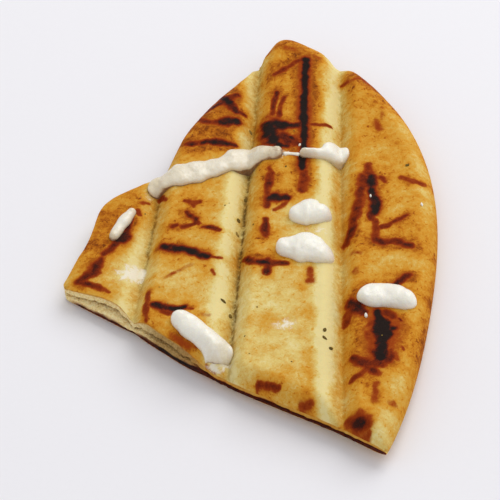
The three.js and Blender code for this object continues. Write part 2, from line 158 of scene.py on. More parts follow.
@dataclass(frozen=True)
class Groove:
    """A furrow that the press left between two ribs."""

    at: float
    lean: float
    depth: float
    half_width: float = 5.5
    floor: float = 0.4
    power: float = 1.7

    def offset(self, x: Array, y: Array) -> Array:
        """How far places lie to the rim side of the groove's crease."""
        return (x - self.at - self.lean * y) / math.hypot(1.0, self.lean)

    def trough(self, x: Array, y: Array) -> Array:
        """1 on the groove's crease and 0 beyond its flanks."""
        reach = np.hypot(self.offset(x, y), self.floor) / self.half_width
        return (1.0 - np.minimum(1.0, reach)) ** self.power


@dataclass(frozen=True)
class Swell:
    """A stretch of a cut that stands out from, or lies inside, its straight line."""

    at: float
    out: float
    spread: float

    def rise(self, distance: Array) -> Array:
        """How far the cut stands out at distances from the corner."""
        off = np.minimum(1.0, np.abs(distance - self.at) / self.spread)
        return self.out * np.cos(math.pi / 2 * off) ** 2


@dataclass(frozen=True)
class Pinch:
    """Where the knife pressed the two crusts together along a cut."""

    start: float
    top: float
    bottom: float
    width: float = 5.5
    over: float = 16.0

    def share(self, distance: Array, depth: Array) -> Array:
        """How much of the pressing is felt at distances from the corner and depths inside the cut."""
        return smooth((distance - self.start) / self.over) * (1.0 - rounded_edge(depth, self.width))


class Side(Enum):
    """The two cuts of the quarter."""

    FRONT = "front"
    BACK = "back"


@dataclass(frozen=True)
class Cut:
    """One straight cut from the corner to the rim."""

    side: Side
    degrees: float
    swells: tuple[Swell, ...]
    pinch: Pinch
    set_backs: tuple[Swell, ...] = ()

    @property
    def angle(self) -> float:
        """The cut's direction in radians."""
        return math.radians(self.degrees)

    @property
    def along(self) -> Array:
        """Unit vector along the cut, away from the corner."""
        return np.array([math.cos(self.angle), math.sin(self.angle)])

    @property
    def outward(self) -> Array:
        """Unit vector that points out of the bread, square to the cut."""
        x, y = self.along
        return np.array([y, -x]) if self.side is Side.FRONT else np.array([-y, x])

    def swell(self, distance: Array, upper: bool = False) -> Array:
        """How far the cut of the lower or the upper crust stands out at distances from the corner."""
        swells = (*self.swells, *self.set_backs) if upper else self.swells
        return sum(swell.rise(np.asarray(distance, float)) for swell in swells)

    def depth(self, x: Array, y: Array, upper: bool = False) -> Array:
        """How far inside the cut of the lower or the upper crust places lie, negative outside."""
        run = x * self.along[0] + y * self.along[1]
        return self.swell(run, upper) - (x * self.outward[0] + y * self.outward[1])


@dataclass(frozen=True)
class QuarterShape:
    """The form of the whole quarter: its plan, its ribs and grooves, its rim and its cut edges."""

    front: Cut = Cut(
        Side.FRONT,
        -40.7,
        (Swell(60, 2.6, 42),),
        Pinch(44, 5.0, 1.6),
        set_backs=(Swell(17, -2.2, 15),),
    )
    back: Cut = Cut(
        Side.BACK,
        51.5,
        (Swell(14, 1.8, 13), Swell(32, 7.6, 20), Swell(80, 3.5, 26)),
        Pinch(64, 7.2, 1.0),
    )
    grooves: tuple[Groove, ...] = (
        Groove(24.2, 0.21, 4.3),
        Groove(53.0, 0.155, 5.5),
        Groove(83.2, 0.1, 5.1),
    )
    rib_heights: tuple[float, ...] = (8.6, 10.8, 11.0, 10.2)
    rib_blend: float = 12.0
    rim_radius: float = 115.8
    rim_swell: float = 6.4
    rim_swell_rate: float = 3.45
    rim_swell_start: float = 11.5
    rim_notch: float = 1.6
    channel_depth: float = 0.9
    ripple_height: float = 0.4
    ripple_sizes: Place = (7.3, 9.7)
    ripple_starts: Place = (1.1, 0.4)
    slant_ripple_share: float = 0.6
    slant_ripple_sizes: Place = (4.9, 6.1)
    equator: float = 3.5
    shoulder: float = 7.0
    belly: float = 5.0
    droop: float = 0.9
    droop_reach: float = 2.0
    thinning: float = 2.2
    thinning_reach: float = 14.0
    front_corner_lift: float = 0.9
    back_corner_lift: float = 2.6
    corner_lift_start: float = 84.0
    rests: tuple[Place, ...] = ((34, 0), (90, -44), (97, 54))
    rest_radius: float = 3.0
    rest_reach: float = 12.0
    rest_clearance: float = 0.4
    corner_worn: float = 0.75
    corner_worn_reach: float = 2.0

    @property
    def middle(self) -> float:
        """Direction halfway between the two cuts, in radians."""
        return (self.front.angle + self.back.angle) / 2

    @property
    def half_angle(self) -> float:
        """Half the angle between the two cuts, in radians."""
        return (self.back.angle - self.front.angle) / 2

    def rim(self, angle: Array) -> Array:
        """Radius of the rim about the corner at angles in radians.

        Args:
            angle: directions from the corner.

        Returns:
            One radius for each angle.
        """
        turn = angle - math.radians(self.rim_swell_start)
        radius = self.rim_radius + self.rim_swell * np.sin(self.rim_swell_rate * turn)
        return radius - self.rim_notch * self.deepest(radius * np.cos(angle), radius * np.sin(angle))

    def deepest(self, x: Array, y: Array) -> Array:
        """How far down the deepest groove is pressed at places, from 0 to 1."""
        return np.max([groove.trough(x, y) for groove in self.grooves], axis=0)

    def rim_depth(self, x: Array, y: Array) -> Array:
        """How far inside the rim places lie."""
        return self.rim(np.arctan2(y, x)) - np.hypot(x, y)

    def depth(self, x: Array, y: Array, upper: bool = False) -> Array:
        """How far inside the nearest edge places lie, of the upper crust or of the lower one."""
        cuts = np.minimum(self.front.depth(x, y, upper), self.back.depth(x, y, upper))
        return np.minimum(cuts, self.rim_depth(x, y))

    def _lift(self, x: Array, y: Array) -> Array:
        """How far the two outer corners curl up off the table.

        Args:
            x: first coordinates.
            y: second coordinates.

        Returns:
            One height for each place.
        """
        aside = (np.arctan2(y, x) - self.middle) / self.half_angle
        most = np.where(aside > 0, self.back_corner_lift, self.front_corner_lift)
        out = (np.hypot(x, y) - self.corner_lift_start) / (self.rim_radius - self.corner_lift_start)
        return most * smooth(out) * np.minimum(1.0, np.abs(aside)) ** 3

    def _ribs(self, x: Array, y: Array) -> Array:
        """Height of the ribs before the grooves are pressed in.

        Args:
            x: first coordinates.
            y: second coordinates.

        Returns:
            One height for each place.
        """
        height = np.full(np.broadcast(x, y).shape, self.rib_heights[0])
        for groove, low, high in zip(self.grooves, self.rib_heights, self.rib_heights[1:]):
            height = height + (high - low) * smooth(groove.offset(x, y) / self.rib_blend + 0.5)
        (across, along), (start_x, start_y) = self.ripple_sizes, self.ripple_starts
        ripples = np.sin(x / across + start_x) * np.sin(y / along + start_y)
        across, along = self.slant_ripple_sizes
        slanting = self.slant_ripple_share * np.sin(x / across - y / along)
        return height + self.ripple_height * (ripples + slanting)

    def _pinched(self, height: Array, x: Array, y: Array, upper: bool) -> Array:
        """Moves heights towards those of a cut edge where the crusts are pressed together.

        Args:
            height: heights without the pressing.
            x: first coordinates of the places.
            y: second coordinates of the places.
            upper: True for the upper face and False for the underside.

        Returns:
            The heights with the pressing.
        """
        distance, moved = np.hypot(x, y), height
        for cut in (self.front, self.back):
            edge = np.minimum(height, cut.pinch.top) if upper else np.maximum(height, cut.pinch.bottom)
            moved = between(moved, edge, cut.pinch.share(distance, cut.depth(x, y)))
        return moved

    def top(self, x: Array, y: Array, fill: float = 0.0) -> Array:
        """Heights of the crust's upper face.

        Args:
            x: first coordinates in millimetres.
            y: second coordinates in millimetres.
            fill: how much of each groove is filled, from 0 to 1.

        Returns:
            Heights above the table in millimetres.
        """
        pressed = sum(groove.depth * groove.trough(x, y) for groove in self.grooves)
        cuts = np.maximum(0.0, np.minimum(self.front.depth(x, y), self.back.depth(x, y)))
        droop = self.droop * np.exp(-cuts / self.droop_reach)
        thinning = self.thinning * np.exp(-np.hypot(x, y) / self.thinning_reach)
        puffed = self._ribs(x, y) - (1.0 - fill) * pressed - droop - thinning
        full = self._pinched(puffed, x, y, upper=True)
        raised = (full - self.equator) * rounded_edge(self.rim_depth(x, y), self.shoulder)
        return self.equator + raised + self._lift(x, y)

    def underside(self, x: Array, y: Array) -> Array:
        """Heights of the underside, which rests on three small flat places.

        Args:
            x: first coordinates.
            y: second coordinates.

        Returns:
            One height for each place.
        """
        full = self._pinched(self.channel_depth * self.deepest(x, y), x, y, upper=False)
        nearest = np.min([np.hypot(x - at[0], y - at[1]) for at in self.rests], axis=0)
        clear = np.clip((nearest - self.rest_radius) / self.rest_reach, 0.0, 1.0)
        lift = self._lift(x, y)
        lying = clear * (self.rest_clearance + full + lift)
        return between(self.equator + lift, lying, rounded_edge(self.rim_depth(x, y), self.belly))

    def cut_line(self, cut: Cut, step: float, upper: bool = False) -> Array:
        """Places along a cut from the worn corner to the rim, both ends included.

        Args:
            cut: the cut to follow.
            step: distance between places.
            upper: True for the edge of the upper crust.

        Returns:
            Rows of distance from the corner, x and y.
        """
        length = float(self.rim(np.array(cut.angle)))
        distance = np.linspace(0.0, length, round(length / step) + 1)
        place = distance[:, None] * cut.along + cut.swell(distance, upper)[:, None] * cut.outward
        worn = self.corner_worn * np.maximum(0.0, 1.0 - distance / self.corner_worn_reach) ** 2
        place += worn[:, None] * np.array([math.cos(self.middle), math.sin(self.middle)])
        return np.column_stack([distance, place])

    def rim_line(self, step: float) -> Array:
        """Places along the rim from the front cut to the back cut, without its ends.

        Args:
            step: distance between places.

        Returns:
            Rows of x and y.
        """
        count = round((self.back.angle - self.front.angle) * self.rim_radius / step)
        angle = np.linspace(self.front.angle, self.back.angle, count + 1)[1:-1]
        radius = self.rim(angle)
        return np.column_stack([radius * np.cos(angle), radius * np.sin(angle)])


@dataclass(frozen=True)
class Placing:
    """Turns millimetres over the quarter's plan into metres in the row's frame."""

    shift: Triple

    @classmethod
    def of(cls, shape: QuarterShape) -> "Placing":
        """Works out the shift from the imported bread's box and the shape's own corners.

        Args:
            shape: the quarter's form.

        Returns:
            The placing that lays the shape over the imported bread.
        """
        low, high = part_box("bread")
        tip = shape.cut_line(shape.back, step=1.0)[-1]
        return cls((low.x / MM, high.y / MM - float(tip[2]), low.z / MM))

    def metres(self, points: Array) -> Array:
        """Places in the row's frame, in metres, of points over the plan in millimetres."""
        return (np.asarray(points, float) + np.array(self.shift)) * MM


def make_piece(name: str, points: Array, faces: Sequence, marks: Marks) -> Piece:
    """Makes one closed mesh object with its surface marks.

    Args:
        name: the piece's name.
        points: corners in the row's frame, in metres.
        faces: corner numbers of each face.
        marks: one number for each corner under each mark's name.

    Returns:
        The object, linked to the scene.
    """
    mesh = bpy.data.meshes.new(name)
    mesh.from_pydata(points.tolist(), [], faces if isinstance(faces, list) else faces.tolist())
    for mark, values in marks.items():
        layer = mesh.attributes.new(mark, "FLOAT", "POINT")
        layer.data.foreach_set("value", np.asarray(values, np.float32))
    mesh.shade_smooth()
    mesh.set_sharp_from_angle(angle=SHARP_EDGE)
    mesh.update()
    piece = bpy.data.objects.new(name, mesh)
    bpy.context.scene.collection.objects.link(piece)
    return piece


@dataclass(frozen=True)
class Mottle:
    """Cloudy variation: width of its patches in millimetres, finer layers, their strength, and twist."""

    size: float
    detail: float = 2.0
    rough: float = 0.5
    warp: float = 0.0


class Recipe:
    """Builds one material's nodes with short calls."""

    MIX_INPUTS = (0, 6, 7)
    MIX_RESULT = 2

    def __init__(self, name: str) -> None:
        """Starts an empty material of that name.

        Args:
            name: the material's name.
        """
        self.material = bpy.data.materials.new(name)
        self.material.use_nodes = True
        self.tree = self.material.node_tree
        self.tree.nodes.clear()
        self.output = self.tree.nodes.new("ShaderNodeOutputMaterial")
        self.places = self.tree.nodes.new("ShaderNodeTexCoord").outputs["Object"]

    def _feed(self, socket: Socket, value: "Socket | float | tuple") -> None:
        """Links a socket to another, or gives it a number or colour.

        Args:
            socket: the socket to feed.
            value: a socket, number or colour.
        """
        if isinstance(value, bpy.types.NodeSocket):
            self.tree.links.new(value, socket)
        elif isinstance(value, tuple) and len(value) == 3 and len(socket.default_value) == 4:
            socket.default_value = (*value, 1.0)
        else:
            socket.default_value = value

    def mark(self, name: str) -> Socket:
        """The surface mark of that name.

        Args:
            name: the mark's name.

        Returns:
            The socket that carries it.
        """
        node = self.tree.nodes.new("ShaderNodeAttribute")
        node.attribute_name = name
        return node.outputs["Fac"]

    def mottle(self, kind: Mottle) -> Socket:
        """Cloudy variation from 0 to 1.

        Args:
            kind: how wide, fine, strong and twisted its patches are.

        Returns:
            The socket that carries it.
        """
        node = self.tree.nodes.new("ShaderNodeTexNoise")
        self._feed(node.inputs["Vector"], self.places)
        self._feed(node.inputs["Scale"], 1.0 / (kind.size * MM))
        self._feed(node.inputs["Detail"], kind.detail)
        self._feed(node.inputs["Roughness"], kind.rough)
        self._feed(node.inputs["Distortion"], kind.warp)
        return node.outputs["Fac"]

    def pores(self, size: float) -> Socket:
        """Distance to the nearest of many scattered cells, for pores of that size in millimetres.

        Args:
            size: distance between pores.

        Returns:
            The socket that carries it.
        """
        node = self.tree.nodes.new("ShaderNodeTexVoronoi")
        self._feed(node.inputs["Vector"], self.places)
        self._feed(node.inputs["Scale"], 1.0 / (size * MM))
        return node.outputs["Distance"]

    def combine(self, how: str, first: "Socket | float", second: "Socket | float") -> Socket:
        """Works out one number from two, by the named rule, such as ADD or MULTIPLY.

        Args:
            how: the rule's name.
            first: its first number.
            second: its second number.

        Returns:
            The socket that carries the result.
        """
        node = self.tree.nodes.new("ShaderNodeMath")
        node.operation = how
        self._feed(node.inputs[0], first)
        self._feed(node.inputs[1], second)
        return node.outputs[0]

    def around(self, value: Socket, width: float) -> Socket:
        """Turns a share from 0 to 1 into a number about 0, of that whole width."""
        return self.combine("MULTIPLY", self.combine("SUBTRACT", value, 0.5), width)

    def spread(
        self, value: Socket, low: float, high: float, to_low: float = 0.0, to_high: float = 1.0
    ) -> Socket:
        """Stretches a range of numbers onto another, smoothly and held at its ends.

        Args:
            value: the numbers to stretch.
            low: start of their range.
            high: end of their range.
            to_low: what the start becomes.
            to_high: what the end becomes.

        Returns:
            The socket that carries the result.
        """
        node = self.tree.nodes.new("ShaderNodeMapRange")
        node.interpolation_type = "SMOOTHSTEP"
        for index, number in enumerate((value, low, high, to_low, to_high)):
            self._feed(node.inputs[index], number)
        return node.outputs[0]

    def ramp(self, value: Socket, stops: Sequence[tuple[float, Colour]]) -> Socket:
        """A colour picked from a row of stops by a number.

        Args:
            value: the number.
            stops: positions and their colours.

        Returns:
            The socket that carries the colour.
        """
        node = self.tree.nodes.new("ShaderNodeValToRGB")
        self._feed(node.inputs["Fac"], value)
        elements = node.color_ramp.elements
        elements.remove(elements[1])
        for index, (position, colour) in enumerate(stops):
            element = elements[0] if index == 0 else elements.new(position)
            element.position = position
            element.color = (*colour, 1.0)
        return node.outputs["Color"]

    def blend(self, share: Socket, first: "Socket | Colour", second: "Socket | Colour") -> Socket:
        """Mixes two colours.

        Args:
            share: how much of the second is taken.
            first: colour at share 0.
            second: colour at share 1.

        Returns:
            The socket that carries the mixed colour.
        """
        node = self.tree.nodes.new("ShaderNodeMix")
        node.data_type = "RGBA"
        for index, value in zip(self.MIX_INPUTS, (share, first, second)):
            self._feed(node.inputs[index], value)
        return node.outputs[self.MIX_RESULT]

    def relief(
        self, height: Socket, depth: float, strength: float, below: "Socket | None" = None
    ) -> Socket:
        """Small relief from a height.

        Args:
            height: numbers from 0 to 1.
            depth: their depth in millimetres.
            strength: how much of it is felt.
            below: relief that this one adds to.

        Returns:
            The socket that carries the changed surface direction.
        """
        node = self.tree.nodes.new("ShaderNodeBump")
        self._feed(node.inputs["Height"], height)
        self._feed(node.inputs["Distance"], depth * MM)
        self._feed(node.inputs["Strength"], strength)
        if below is not None:
            self._feed(node.inputs["Normal"], below)
        return node.outputs["Normal"]

    def finish(self, **inputs: "Socket | float | tuple") -> Material:
        """Adds the surface shader with these inputs, by their names with _ for a space.

        Args:
            inputs: sockets, numbers or colours.

        Returns:
            The finished material.
        """
        shader = self.tree.nodes.new("ShaderNodeBsdfPrincipled")
        for name, value in inputs.items():
            self._feed(shader.inputs[name.replace("_", " ")], value)
        self.tree.links.new(shader.outputs["BSDF"], self.output.inputs["Surface"])
        return self.material


@dataclass(frozen=True)
class CrustFinish:
    """Toasted crust and torn crumb, coloured by how far each place is toasted and singed; painted shade
    darkens the grooves' creases and the pocket, and adds to the singe on the cut faces' foot.
    """

    toast_stops: tuple[tuple[float, Colour], ...] = (
        (0.0, (0.78, 0.65, 0.29)),
        (0.2, (0.72, 0.535, 0.165)),
        (0.33, (0.68, 0.44, 0.112)),
        (0.45, (0.65, 0.35, 0.052)),
        (0.58, (0.63, 0.29, 0.03)),
        (0.7, (0.57, 0.225, 0.016)),
        (0.8, (0.47, 0.15, 0.010)),
        (0.9, (0.34, 0.088, 0.006)),
        (1.0, (0.19, 0.046, 0.006)),
    )
    singe_stops: tuple[tuple[float, Colour], ...] = (
        (0.1, (0.42, 0.125, 0.009)),
        (0.26, (0.33, 0.056, 0.006)),
        (0.44, (0.22, 0.027, 0.004)),
        (0.62, (0.138, 0.017, 0.005)),
        (0.8, (0.062, 0.011, 0.006)),
        (1.0, (0.018, 0.011, 0.009)),
    )
    crumb_stops: tuple[tuple[float, Colour], ...] = (
        (0.25, (0.27, 0.14, 0.04)),
        (0.5, (0.44, 0.27, 0.09)),
        (0.75, (0.60, 0.42, 0.17)),
    )
    fresh_stops: tuple[tuple[float, Colour], ...] = (
        (0.25, (0.70, 0.46, 0.16)),
        (0.5, (0.95, 0.74, 0.35)),
        (0.75, (1.0, 0.90, 0.53)),
    )
    # Painted shade: the dark colour laid into the grooves' creases and into the pocket.
    crease: Colour = (0.11, 0.062, 0.014)
    film: Colour = (0.84, 0.77, 0.60)
    grain: Mottle = Mottle(0.45, detail=3.0, rough=0.6)
    freckle: Mottle = Mottle(1.5, detail=4.0, rough=0.62, warp=0.5)
    cloud: Mottle = Mottle(5.0, detail=3.0, rough=0.55, warp=0.3)
    speck: Mottle = Mottle(1.1, detail=1.0, warp=0.6)
    weave: Mottle = Mottle(0.9, detail=4.0, rough=0.65)
    pore_size: float = 0.8
    toast_by_freckle: float = 0.7
    toast_by_grain: float = 0.3
    toast_by_cloud: float = 0.45
    toast_by_speck: float = 0.2
    speck_span: Span = (0.63, 0.72)
    crease_span: Span = (0.35, 0.6)
    crease_least: float = 0.35
    singe_by_grain: float = 0.6
    singe_by_freckle: float = 0.7
    ragged_span: Span = (0.04, 0.7)
    singe_span: Span = (0.06, 0.3)
    film_by_freckle: float = 2.0
    film_span: Span = (0.3, 0.8)
    film_edge: Span = (0.0, 0.6)
    freckle_relief: Span = (0.4, 0.5)
    grain_relief: Span = (0.14, 0.8)
    pore_relief: Span = (0.5, 0.9)
    dry_span: Span = (0.3, 0.7)
    dry_roughness: Span = (0.55, 0.75)
    gloss_span: Span = (0.3, 0.9)
    singe_gloss: float = 0.12
    specular: float = 0.03
    subsurface: float = 0.05
    subsurface_radius: Colour = (1.0, 0.5, 0.2)
    subsurface_depth: float = 1.0

    def material(self) -> Material:
        """Builds the crust's material.

        Returns:
            The material.
        """
        make = Recipe("toasted_crust")
        grain, freckle = make.mottle(self.grain), make.mottle(self.freckle)
        crust = make.ramp(self._level(make, grain, freckle), self.toast_stops)
        # Painted shade in the creases and the pocket, broken up by the freckles.
        broken = make.spread(freckle, *self.crease_span, self.crease_least)
        crust = make.blend(make.combine("MULTIPLY", make.mark("crease"), broken), crust, self.crease)
        heat = self._heat(make, grain, freckle)
        crust = make.blend(make.spread(heat, *self.singe_span), crust, make.ramp(heat, self.singe_stops))
        weave = make.mottle(self.weave)
        old, fresh = make.ramp(weave, self.crumb_stops), make.ramp(weave, self.fresh_stops)
        surface = make.blend(make.mark("crumb"), crust, make.blend(make.mark("fresh"), old, fresh))
        milky = make.combine("ADD", make.mark("film"), make.around(freckle, self.film_by_freckle))
        shown = make.spread(make.mark("film"), *self.film_edge)
        milky = make.combine("MULTIPLY", make.spread(milky, *self.film_span), shown)
        surface = make.blend(milky, surface, self.film)
        relief = make.relief(freckle, *self.freckle_relief)
        relief = make.relief(grain, *self.grain_relief, relief)
        holes = make.combine("MULTIPLY", make.pores(self.pore_size), make.mark("crumb"))
        relief = make.relief(holes, *self.pore_relief, relief)
        dry = make.spread(freckle, *self.dry_span, *self.dry_roughness)
        gloss = make.spread(heat, *self.gloss_span, 0.0, self.singe_gloss)
        return make.finish(
            Base_Color=surface,
            Roughness=make.combine("SUBTRACT", dry, gloss),
            Normal=relief,
            Specular_IOR_Level=self.specular,
            Subsurface_Weight=self.subsurface,
            Subsurface_Radius=self.subsurface_radius,
            Subsurface_Scale=self.subsurface_depth * MM,
        )

    def _level(self, make: Recipe, grain: Socket, freckle: Socket) -> Socket:
        """How toasted places look: their mark, varied by freckles, grain, clouds and specks.

        Args:
            make: the recipe that the nodes go to.
            grain: the fine variation.
            freckle: the coarser variation.

        Returns:
            The socket that carries the level.
        """
        level = make.mark("toast")
        widths = (self.toast_by_freckle, self.toast_by_grain, self.toast_by_cloud)
        for variation, width in zip((freckle, grain, make.mottle(self.cloud)), widths):
            level = make.combine("ADD", level, make.around(variation, width))
        specks = make.spread(make.mottle(self.speck), *self.speck_span, 0.0, self.toast_by_speck)
        return make.combine("ADD", level, specks)

    def _heat(self, make: Recipe, grain: Socket, freckle: Socket) -> Socket:
        """How singed places look: their mark, made ragged by grain and freckles.

        Args:
            make: the recipe that the nodes go to.
            grain: the fine variation.
            freckle: the coarser variation.

        Returns:
            The socket that carries the level.
        """
        heat = make.mark("singe")
        felt = make.spread(heat, *self.ragged_span)
        fine = make.around(grain, self.singe_by_grain)
        ragged = make.combine("ADD", fine, make.around(freckle, self.singe_by_freckle))
        return make.combine("ADD", heat, make.combine("MULTIPLY", felt, ragged))


@dataclass(frozen=True)
class SauceFinish:
    """Glossy white garlic sauce, a little see-through where it lies thin."""

    thick: Colour = (0.88, 0.85, 0.745)
    thin: Colour = (0.72, 0.62, 0.44)
    under: Colour = (0.30, 0.17, 0.09)
    lumps: Mottle = Mottle(1.1, detail=3.0, rough=0.55)
    fine: Mottle = Mottle(0.35)
    thin_by_lumps: float = 0.35
    thin_span: Span = (0.1, 0.75)
    under_span: Span = (0.7, 1.0)
    lump_relief: Span = (0.4, 0.5)
    fine_relief: Span = (0.08, 0.5)
    fine_span: Span = (0.3, 0.7)
    roughness: Span = (0.14, 0.3)
    specular: float = 0.5
    subsurface: float = 0.25
    subsurface_radius: Colour = (1.0, 0.85, 0.6)
    subsurface_depth: float = 1.5

    def material(self) -> Material:
        """Builds the sauce's material.

        Returns:
            The material.
        """
        make = Recipe("white_garlic_sauce")
        lumps, fine = make.mottle(self.lumps), make.mottle(self.fine)
        thin = make.combine("ADD", make.mark("thin"), make.around(lumps, self.thin_by_lumps))
        colour = make.blend(make.spread(thin, *self.thin_span), self.thick, self.thin)
        colour = make.blend(make.spread(thin, *self.under_span), colour, self.under)
        relief = make.relief(lumps, *self.lump_relief)
        return make.finish(
            Base_Color=colour,
            Roughness=make.spread(fine, *self.fine_span, *self.roughness),
            Normal=make.relief(fine, *self.fine_relief, relief),
            Specular_IOR_Level=self.specular,
            Subsurface_Weight=self.subsurface,
            Subsurface_Radius=self.subsurface_radius,
            Subsurface_Scale=self.subsurface_depth * MM,
        )


@dataclass(frozen=True)
class HerbFinish:
    """Dried herb, dark green to brown."""

    stops: tuple[tuple[float, Colour], ...] = (
        (0.2, (0.11, 0.070, 0.014)),
        (0.5, (0.20, 0.130, 0.026)),
        (0.85, (0.32, 0.21, 0.05)),
    )
    tint: Mottle = Mottle(0.4)
    tint_share: float = 0.3
    grain: Mottle = Mottle(0.3)
    grain_relief: Span = (0.1, 0.6)
    roughness: float = 0.8
    specular: float = 0.1

    def material(self) -> Material:
        """Builds the herb's material.

        Returns:
            The material.
        """
        make = Recipe("dried_herb")
        tint = make.combine("MULTIPLY", make.mottle(self.tint), self.tint_share)
        return make.finish(
            Base_Color=make.ramp(make.combine("ADD", make.mark("tone"), tint), self.stops),
            Roughness=self.roughness,
            Normal=make.relief(make.mottle(self.grain), *self.grain_relief),
            Specular_IOR_Level=self.specular,
        )


@dataclass(frozen=True)
class FloorFinish:
    """Plain pale paper under the piece."""

    colour: Colour = (0.86, 0.85, 0.875)
    grain: Mottle = Mottle(1.5)
    grain_shade: float = 0.985
    grain_relief: Span = (0.05, 0.2)
    roughness: float = 0.85

    def material(self) -> Material:
        """Builds the floor's material.

        Returns:
            The material.
        """
        make = Recipe("pale_paper")
        grain = make.mottle(self.grain)
        shaded = tuple(self.grain_shade * part for part in self.colour)
        return make.finish(
            Base_Color=make.blend(grain, self.colour, shaded),
            Roughness=self.roughness,
            Normal=make.relief(grain, *self.grain_relief),
        )


@dataclass(frozen=True)
class Stroke:
    """One singed bar left by the press: a path of x, y and half width, and how dark it is at most."""

    path: tuple[Triple, ...]
    heat: float
    burnt_from: float = 1.2

    @property
    def burnt(self) -> bool:
        """True for a bar that is burnt through, evenly black and with a crisper edge."""
        return self.heat >= self.burnt_from

    def nearness(self, x: Array, y: Array) -> tuple[Array, Array]:
        """How near places are to the stroke.

        Args:
            x: first coordinates.
            y: second coordinates.

        Returns:
            Distances in half widths, and distances beyond the half width in millimetres.
        """
        ratio, beyond = np.full(x.shape, np.inf), np.full(x.shape, np.inf)
        for (ax, ay, aw), (bx, by, bw) in zip(self.path, self.path[1:]):
            length = max(TINY, (bx - ax) ** 2 + (by - ay) ** 2)
            share = np.clip(((x - ax) * (bx - ax) + (y - ay) * (by - ay)) / length, 0.0, 1.0)
            apart = np.hypot(x - ax - share * (bx - ax), y - ay - share * (by - ay))
            width = between(aw, bw, share)
            ratio = np.minimum(ratio, apart / width)
            beyond = np.minimum(beyond, np.maximum(0.0, apart - width))
        return ratio, beyond


@dataclass(frozen=True)
class Patch:
    """A soft area that is more or less toasted than the rest."""

    at: Place
    across: float
    along: float
    change: float
    turn: float = 0.0

    def amount(self, x: Array, y: Array) -> Array:
        """The change at places, greatest in the middle of the patch.

        Args:
            x: first coordinates.
            y: second coordinates.

        Returns:
            One change for each place.
        """
        cosine, sine = math.cos(math.radians(self.turn)), math.sin(math.radians(self.turn))
        u, v = x - self.at[0], y - self.at[1]
        across, along = (u * cosine + v * sine) / self.across, (v * cosine - u * sine) / self.along
        return self.change * np.exp(-(across**2 + along**2))


# Soft areas of the crust: x, y, reach across and along the ribs, change of toasting, and turn in degrees
TOASTED_AREAS = (
    (9, 12.7, 5, 4, 0.34, 50), (14, 8, 6, 5, 0.1, 50), (16, 22, 4, 7, 0.22, 50),
    (20, 1, 6, 7, -0.06), (69.6, -48.5, 2.2, 9, 0.26, -4), (72.4, -27.9, 2.0, 4, 0.26),
    (70.6, -16.6, 2.0, 2.0, 0.2), (58.9, -25.3, 3.0, 2.0, 0.2), (69.0, -61.0, 4.0, 2.4, 0.3),
    (33.7, -30.8, 3.4, 3.0, 0.22, -40), (78.6, 68, 2.6, 12, 0.16, 8), (82.0, 66, 2.0, 14, 0.12, 8),
    (90.0, 0.5, 4.0, 5.0, 0.1), (100.3, 13.8, 3.2, 5.0, -0.16), (98.8, -8.0, 5.0, 3.0, -0.1),
    (99.0, -44.0, 3.4, 7.0, 0.04), (94.6, -56.0, 3.4, 5.0, -0.12), (53, 66, 7, 5, 0.14),
    (91, -41, 8, 9, 0.14), (88, -57, 5, 6, 0.04), (85.4, -71.5, 6, 6, -0.2), (103, 45, 5, 13, 0.06),
    (60, -3, 9, 4, 0.22), (56, 6, 5, 6, 0.14), (74, 14, 7, 6, -0.18), (56, -27, 8, 2.0, 0.12),
    (66, -16, 9, 5, -0.08), (62, -40, 9, 3, 0.06), (26, -22, 5, 6, 0.2), (38, -34, 6, 4, 0.16, -40),
    (30, 20, 5, 6, 0.1), (36, 26, 8, 4, -0.06), (73, 88, 6, 4, 0.12), (92, 70, 4, 5, 0.2),
    (79.5, 68, 3.0, 13, 0.12, 8), (107, -4, 3.2, 22, 0.12), (103, -30, 3.0, 14, 0.1),
    (85.6, 58, 1.6, 10, -0.22, 8), (88.2, -33.6, 6, 9, 0.1), (92, -60, 8, 8, -0.08),
    (93.6, 14, 6, 12, 0.1), (68, 49, 8, 7, 0.16), (50, 56, 8, 9, 0.14),
)

